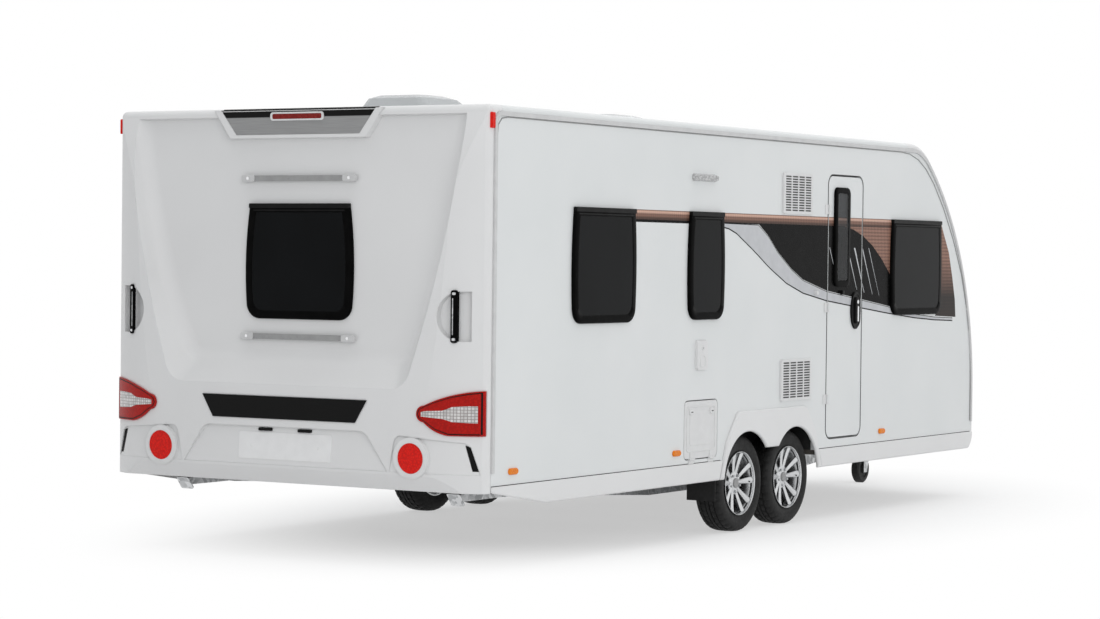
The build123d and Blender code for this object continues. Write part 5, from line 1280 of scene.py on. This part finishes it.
print("a spoke has", len(SPOKE), "sections of", len(SPOKE_SECTION), "points")

# %% [markdown]
# The barrel and the hub of a rim are round, so they are turned on the lathe, and the spokes join them
# by overlap. A brake drum fills the dark behind the spokes, as it does on the road.

# %% Alloy rims and brake drums
# Columns of every profile: distance out from the middle plane, radius
BARREL = (
    (0.076, 0.1905), (0.081, 0.192), (0.084, 0.1905), (0.0835, 0.1885), (0.079, 0.1865), (0.070, 0.1830),
    (0.050, 0.1750), (0.015, 0.1690), (-0.060, 0.1660), (-0.078, 0.1730), (-0.083, 0.1860), (-0.083, 0.1915),
    (-0.076, 0.1915), (-0.076, 0.1780), (0.060, 0.1780), (0.076, 0.1850),
)
HUB = (
    (0.020, 0.0), (0.020, 0.070), (0.036, 0.072), (0.043, 0.069), (0.047, 0.062), (0.047, 0.044),
    (0.049, 0.040), (0.049, 0.0),
)
DRUM = (
    (-0.045, 0.0), (-0.045, 0.122), (-0.005, 0.122), (0.002, 0.118), (0.004, 0.095), (0.010, 0.090),
    (0.010, 0.0),
)
PAIRS, SPREAD = 5, radians(15)
for wheel in WHEELS:
    centre, outwards = wheel_place(wheel)
    axis = (0, outwards, 0)
    mesh = bmesh.new()
    lathe(mesh, BARREL, centre, axis, 72, closed=True)
    lathe(mesh, HUB, centre, axis, 48)
    for pair in range(PAIRS):
        for hand in (1, -1):
            spoke(mesh, centre, outwards, 2 * pi * pair / PAIRS + hand * SPREAD, hand)
    rim = finish_piece(f"road_rim_{wheel}", mesh, alloy, f"wheel_{wheel}", 0.0012)
    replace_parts(rim, f"rim_{wheel}")
    mesh = bmesh.new()
    lathe(mesh, DRUM, centre, axis, 48)
    finish_piece(f"drum_{wheel}", mesh, black_metal, f"wheel_{wheel}", 0.002)
print("rims with", 2 * PAIRS, "spokes")

# %% [markdown]
# Each wheel carries five nuts in the dish, a plain centre cap and a valve. The nuts are hexagons
# with a domed end, so a lathe of six steps makes them. All of it turns with the wheel.

# %% Wheel nuts, caps and valves
NUT = ((-0.006, 0.0085), (0.006, 0.0085), (0.009, 0.006), (0.010, 0.0))
CAP = ((-0.003, 0.030), (0.004, 0.030), (0.008, 0.027), (0.009, 0.020), (0.007, 0.012), (0.007, 0.0))
VALVE = ((-0.022, 0.006), (0.004, 0.0055), (0.006, 0.004), (0.020, 0.004), (0.022, 0.0))
NUTS, NUT_CIRCLE, HUB_FACE = 5, 0.053, 0.049
VALVE_RADIUS, VALVE_OUT, VALVE_LEAN = 0.158, 0.050, -0.4
for wheel in WHEELS:
    centre, outwards = wheel_place(wheel)
    face = centre + Vector((0, outwards * HUB_FACE, 0))
    axis = (0, outwards, 0)
    mesh = bmesh.new()
    for k in range(NUTS):
        t = 2 * pi * (k + 0.5) / NUTS
        spot = face + Vector((NUT_CIRCLE * sin(t), 0, NUT_CIRCLE * cos(t)))
        lathe(mesh, NUT, spot, axis, 6)
    finish_piece(f"nuts_{wheel}", mesh, galvanised, f"wheel_{wheel}", 0.001)
    mesh = bmesh.new()
    lathe(mesh, CAP, face, axis, 32)
    finish_piece(f"cap_{wheel}", mesh, grey_plastic, f"wheel_{wheel}")
    mesh = bmesh.new()
    valve = centre + Vector((VALVE_RADIUS, outwards * VALVE_OUT, 0))
    lathe(mesh, VALVE, valve, (VALVE_LEAN, outwards, 0), 10)
    finish_piece(f"valve_{wheel}", mesh, flap_rubber, f"wheel_{wheel}")
print("dressed", len(WHEELS), "wheels")

# %% [markdown]
# A tail lamp has a clear window across its red lens, with a row of LED cells towards the tip and a
# block of small lamps outside. The cells are a brick pattern in the shader: bright squares with
# darker joints, which read as reflectors behind clear plastic.

# %% LED cells
CELL_WIDE, CELL_TALL, CELL_JOINT = 0.017, 0.016, 0.0016
led_cells, tree, shader = new_finish("led_cells", Roughness=0.10, Coat_Weight=1.0, Coat_Roughness=0.03)
turn_up = tree.nodes.new("ShaderNodeMapping")
turn_up.inputs["Rotation"].default_value = (0, radians(90), radians(90))
cells = tree.nodes.new("ShaderNodeTexBrick")
cells.offset = 0.0
cells.inputs["Scale"].default_value = 1.0
cells.inputs["Brick Width"].default_value = CELL_WIDE
cells.inputs["Row Height"].default_value = CELL_TALL
cells.inputs["Mortar Size"].default_value = CELL_JOINT
cells.inputs["Color1"].default_value = (0.78, 0.76, 0.75, 1)
cells.inputs["Color2"].default_value = (0.52, 0.50, 0.49, 1)
cells.inputs["Mortar"].default_value = (0.30, 0.26, 0.25, 1)
tree.links.new(object_place(tree), turn_up.inputs["Vector"])
tree.links.new(turn_up.outputs["Vector"], cells.inputs["Vector"])
tree.links.new(cells.outputs["Color"], shader.inputs["Base Color"])
bump(tree, shader, cells.outputs["Fac"], -0.002)
print("made", led_cells.name)

# %% [markdown]
# The clear window is laid on the lens as a thin sheet. Its edges are given at a few places across the
# lamp, and columns between them are worked out, close enough to follow the lens round the corner.

# %% Lamp window columns
# Columns: distance from the middle, lower edge and upper edge of the clear window
LAMP_WINDOW = (
    (0.892, 0.809, 0.833), (0.925, 0.806, 0.838), (1.010, 0.800, 0.842), (1.035, 0.794, 0.850),
    (1.062, 0.785, 0.862), (1.100, 0.783, 0.866), (1.145, 0.781, 0.868), (1.186, 0.780, 0.868),
)
WINDOW_CUTS, WINDOW_ROWS = 6, 8
columns = []
for column, following in zip(LAMP_WINDOW, LAMP_WINDOW[1:]):
    for k in range(WINDOW_CUTS):
        t = k / WINDOW_CUTS
        columns.append([a + (b - a) * t for a, b in zip(column, following)])
columns.append(LAMP_WINDOW[-1])


def window_grid(side):
    """Points of one lamp's window, column by column."""
    return [
        [(side * y, low + (high - low) * k / WINDOW_ROWS) for k in range(WINDOW_ROWS + 1)]
        for y, low, high in columns
    ]


print("lamp windows of", len(columns), "columns")

# %% [markdown]
# A dark rim seals the lens in its pocket. It is a ring between the outline of the lens and the same
# outline drawn in towards its middle, and every run of it is divided, so that it bends with the lens.
# Window and rim are then pressed onto one lamp after the other.

# %% Lamp windows and rims
# Columns: distance from the middle, height
LAMP_RIM = (
    (0.906, 0.786), (0.879, 0.799), (0.868, 0.822), (0.879, 0.845), (0.906, 0.859), (0.960, 0.882),
    (1.060, 0.915), (1.140, 0.931), (1.207, 0.940), (1.207, 0.719), (1.120, 0.718), (1.044, 0.719),
    (0.974, 0.743),
)
RIM_CUTS, RIM_SHARE_Y, RIM_SHARE_Z = 8, 0.965, 0.945
LENS_SUNK, LENS_PROUD = -0.002, 0.0009


def divided(outline, parts):
    """Outline with every run cut into parts, so that it follows a curved surface."""
    points = []
    for (a, b), (c, d) in zip(outline, outline[1:] + outline[:1]):
        points += [(a + (c - a) * k / parts, b + (d - b) * k / parts) for k in range(parts)]
    return points


middle_y = sum(y for y, _ in LAMP_RIM) / len(LAMP_RIM)
middle_z = sum(z for _, z in LAMP_RIM) / len(LAMP_RIM)
edge = divided(LAMP_RIM, RIM_CUTS)
drawn_in = [
    (middle_y + (y - middle_y) * RIM_SHARE_Y, middle_z + (z - middle_z) * RIM_SHARE_Z) for y, z in edge
]
for side, side_name in SIDES:
    mesh = bmesh.new()
    patch(mesh, window_grid(side), lamp_surface, LENS_SUNK, LENS_PROUD)
    finish_piece(f"led_window_{side_name}", mesh, led_cells, "caravan")
    outer, inner = ([(side * y, z) for y, z in outline] for outline in (edge, drawn_in))
    mesh = bmesh.new()
    ring(mesh, outer, inner, lamp_surface, LENS_SUNK, LENS_PROUD)
    finish_piece(f"lamp_rim_{side_name}", mesh, dark_plastic, "caravan")
print("lamp rims of", len(edge), "points")

# %% [markdown]
# Under the strip is the place for the number plate. It stays blank: a white plate on two screws, with
# two small lamps above it. The plate is flat, so only its two edges take their place from the recess.

# %% Number plate and its lamps
PLATE_WIDE, PLATE_LOW, PLATE_HIGH, PLATE_CORNER = 0.610, 0.540, 0.685, 0.010
SCREW = ((0.002, 0.006), (0.005, 0.0055), (0.006, 0.0))
SCREW_Y, PLATE_LAMP_Y, PLATE_LAMP_Z = 0.22, 0.13, 0.7005
foot, head = rear_surface(0, PLATE_LOW, 0).x, rear_surface(0, PLATE_HIGH, 0).x
plate_z = (PLATE_LOW + PLATE_HIGH) / 2


def on_plate(y, z, out):
    """Places a point by Y, height and distance out from the leaning plate."""
    share = (z - PLATE_LOW) / (PLATE_HIGH - PLATE_LOW)
    return Vector((foot + (head - foot) * share - out, y, z))


plate = rounded_box(0, plate_z, PLATE_WIDE, PLATE_HIGH - PLATE_LOW, PLATE_CORNER)
mesh = bmesh.new()
prism(mesh, plate, on_plate, -0.003, 0.003)
for y in (-SCREW_Y, SCREW_Y):
    lathe(mesh, SCREW, on_plate(y, plate_z, 0), (-1, 0, 0), 12)
finish_piece("blank_plate", mesh, plate_white, "caravan", 0.001)
mesh = bmesh.new()
for y in (-PLATE_LAMP_Y, PLATE_LAMP_Y):
    prism(mesh, rounded_box(y, PLATE_LAMP_Z, 0.088, 0.017, 0.006), rear_surface, -0.004, 0.012)
finish_piece("plate_lamps", mesh, dark_plastic, "caravan", 0.002)
print("plate leans", round(head - foot, 4), "m over its height")

# %% [markdown]
# The rear carries two rack rails, which end in moulded feet. Each foot is a rounded plate round the
# end of its rail, held by one bright bolt with a domed head.

# %% Rack feet
FOOT_Y, FOOT_HEIGHTS = 0.335, (2.048, 1.195)
BOLT = ((0.003, 0.010), (0.007, 0.010), (0.010, 0.006), (0.0105, 0.0))
rail_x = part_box("rack_rails")[0].x
on_rail = on_rear(rail_x)
feet, bolts = bmesh.new(), bmesh.new()
for z in FOOT_HEIGHTS:
    for y in (-FOOT_Y, FOOT_Y):
        prism(feet, rounded_box(y, z, 0.086, 0.038, 0.012), on_rail, -0.016, 0.004)
        lathe(bolts, BOLT, on_rail(y, z, 0), (-1, 0, 0), 16)
finish_piece("rack_feet", feet, white_rail, "caravan", 0.002)
finish_piece("rack_bolts", bolts, bright_steel, "caravan")
print("rack rail face at X", round(rail_x, 3))

# %% [markdown]
# The grab handles are black bars with bright end caps and a bright line along the grip. These are
# dropped onto the bars from behind, so they follow the bow of the grip.

# %% Grab handle caps
GRAB_Y, GRAB_Z, GRAB_CAP_SHIFT, GRAB_LINE_SHIFT = 1.066, 1.328, 0.118, 0.006
grab_surface = drop_on(surface_of("grab_handles"))
mesh = bmesh.new()
for side in (RIGHT, LEFT):
    for shift in (-GRAB_CAP_SHIFT, GRAB_CAP_SHIFT):
        cap = rounded_box(side * GRAB_Y, GRAB_Z + shift, 0.018, 0.014, 0.005)
        prism(mesh, cap, grab_surface, -0.002, 0.002)
    line = rounded_box(side * (GRAB_Y - GRAB_LINE_SHIFT), GRAB_Z, 0.005, 0.19, 0.002, 2)
    prism(mesh, line, grab_surface, -0.002, 0.0016)
finish_piece("grab_caps", mesh, galvanised, "caravan", 0.001)
print("grip line at X", round(grab_surface(GRAB_Y - GRAB_LINE_SHIFT, GRAB_Z, 0).x, 3))

# %% [markdown]
# The high brake lamp is a narrow dark red lens in a pale bezel, set into the spoiler. Both are flat
# plates against the spoiler insert.

# %% High brake lamp
BRAKE_Z, BRAKE_WIDE, BRAKE_TALL, INSERT_Z = 2.379, 0.326, 0.028, 2.33
bezel_x = drop_on(surface_of("rear_trim"))(0, INSERT_Z, 0).x
lens_edge = rounded_box(0, BRAKE_Z, BRAKE_WIDE, BRAKE_TALL, 0.009)
bezel_edge = rounded_box(0, BRAKE_Z, BRAKE_WIDE + 0.026, BRAKE_TALL + 0.018, 0.016)
mesh = bmesh.new()
ring(mesh, bezel_edge, lens_edge, on_rear(bezel_x), -0.002, 0.007)
finish_piece("brake_lamp_bezel", mesh, white_plastic, "caravan", 0.0015)
mesh = bmesh.new()
prism(mesh, lens_edge, on_rear(bezel_x), 0.001, 0.0045)
finish_piece("brake_lens", mesh, dark_red_lens, "caravan", 0.001)
print("spoiler insert at X", round(bezel_x, 3))

# %% [markdown]
# Above the insert, the black goes on over the top edge of the moulding as a thin gloss cap. It widens
# with height, and it comes in two strips, because the moulding and the roof step at their joint.

# %% Spoiler cap
CAP_HALF, CAP_SPLAY, CAP_FOOT = 0.505, 0.77, 2.408
CAP_STRIPS = ((2.4075, 2.4122, 2.4168), (2.4182, 2.4205, 2.4228, 2.4245))
ACROSS = (-1, -0.5, 0, 0.5, 1)
roof_edge = drop_on(surface_of("rear_panel", "roof_panel"))
mesh = bmesh.new()
for heights in CAP_STRIPS:
    rows = [[(share * (CAP_HALF + CAP_SPLAY * (z - CAP_FOOT)), z) for share in ACROSS] for z in heights]
    patch(mesh, rows, roof_edge, -0.001, 0.0008)
finish_piece("spoiler_cap", mesh, black_gloss, "caravan")
print("spoiler cap in", len(CAP_STRIPS), "strips")

# %% [markdown]
# Where the skirts meet the walls there is a thin sealed joint, which draws the dark line along the
# foot of the side. A narrow bar is enough for it, behind the wheel spat and ahead of it.

# %% Skirt joints
# Columns: first station, last station
SKIRT_JOINTS = ((0.032, 2.545), (3.865, 6.262))
JOINT_LOW, JOINT_HIGH = 0.4485, 0.4525
for side, side_name in SIDES:
    mesh = bmesh.new()
    for first, last in SKIRT_JOINTS:
        prism(mesh, bar(first, last, JOINT_LOW, JOINT_HIGH), on_side(side), -0.001, 0.0015)
    finish_piece(f"skirt_joint_{side_name}", mesh, dark_plastic, "caravan")

# %% [markdown]
# The front locker lid is held by two turn locks. They are hidden in the photograph and follow what
# such caravans have: rounded plates, dropped onto the lid from ahead, that move with it.

# %% Locker locks
LOCKER_LOCK_Y, LOCKER_LOCK_Z = 0.48, 0.715
lid_surface = drop_on(surface_of("locker_lid"), -1)
mesh = bmesh.new()
for y in (-LOCKER_LOCK_Y, LOCKER_LOCK_Y):
    prism(mesh, rounded_box(y, LOCKER_LOCK_Z, 0.052, 0.074, 0.022), lid_surface, -0.004, 0.012)
finish_piece("locker_locks", mesh, dark_plastic, "front_lid", 0.003)
print("locker lid at X", round(lid_surface(0, LOCKER_LOCK_Z, 0).x, 3))

# %% [markdown]
# The roof lights sit in low moulded frames, screwed and sealed to the roof. Each frame is a ring round
# its dome, with a broad rounded edge.

# %% Roof light frames
# Columns: middle station, Y, length, width
ROOF_FRAMES = ((1.150, 0.0, 0.600, 0.520), (3.050, -0.160, 0.560, 0.440))
FRAME_MARGIN, DOME_GAP = 0.07, 0.004
roof_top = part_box("roof_panel")[1].z


def on_roof(station, y, out):
    """Places a point by station, Y and height above the roof."""
    return Vector((at(station), y, roof_top + out))


mesh = bmesh.new()
for station, y, length, width in ROOF_FRAMES:
    outer = rounded_box(station, y, length + FRAME_MARGIN, width + FRAME_MARGIN, 0.085, 8)
    inner = rounded_box(station, y, length + DOME_GAP, width + DOME_GAP, 0.062, 8)
    ring(mesh, outer, inner, on_roof, -0.002, 0.014)
finish_piece("roof_light_frames", mesh, white_plastic, "caravan", 0.004)
print("roof at Z", round(roof_top, 3))
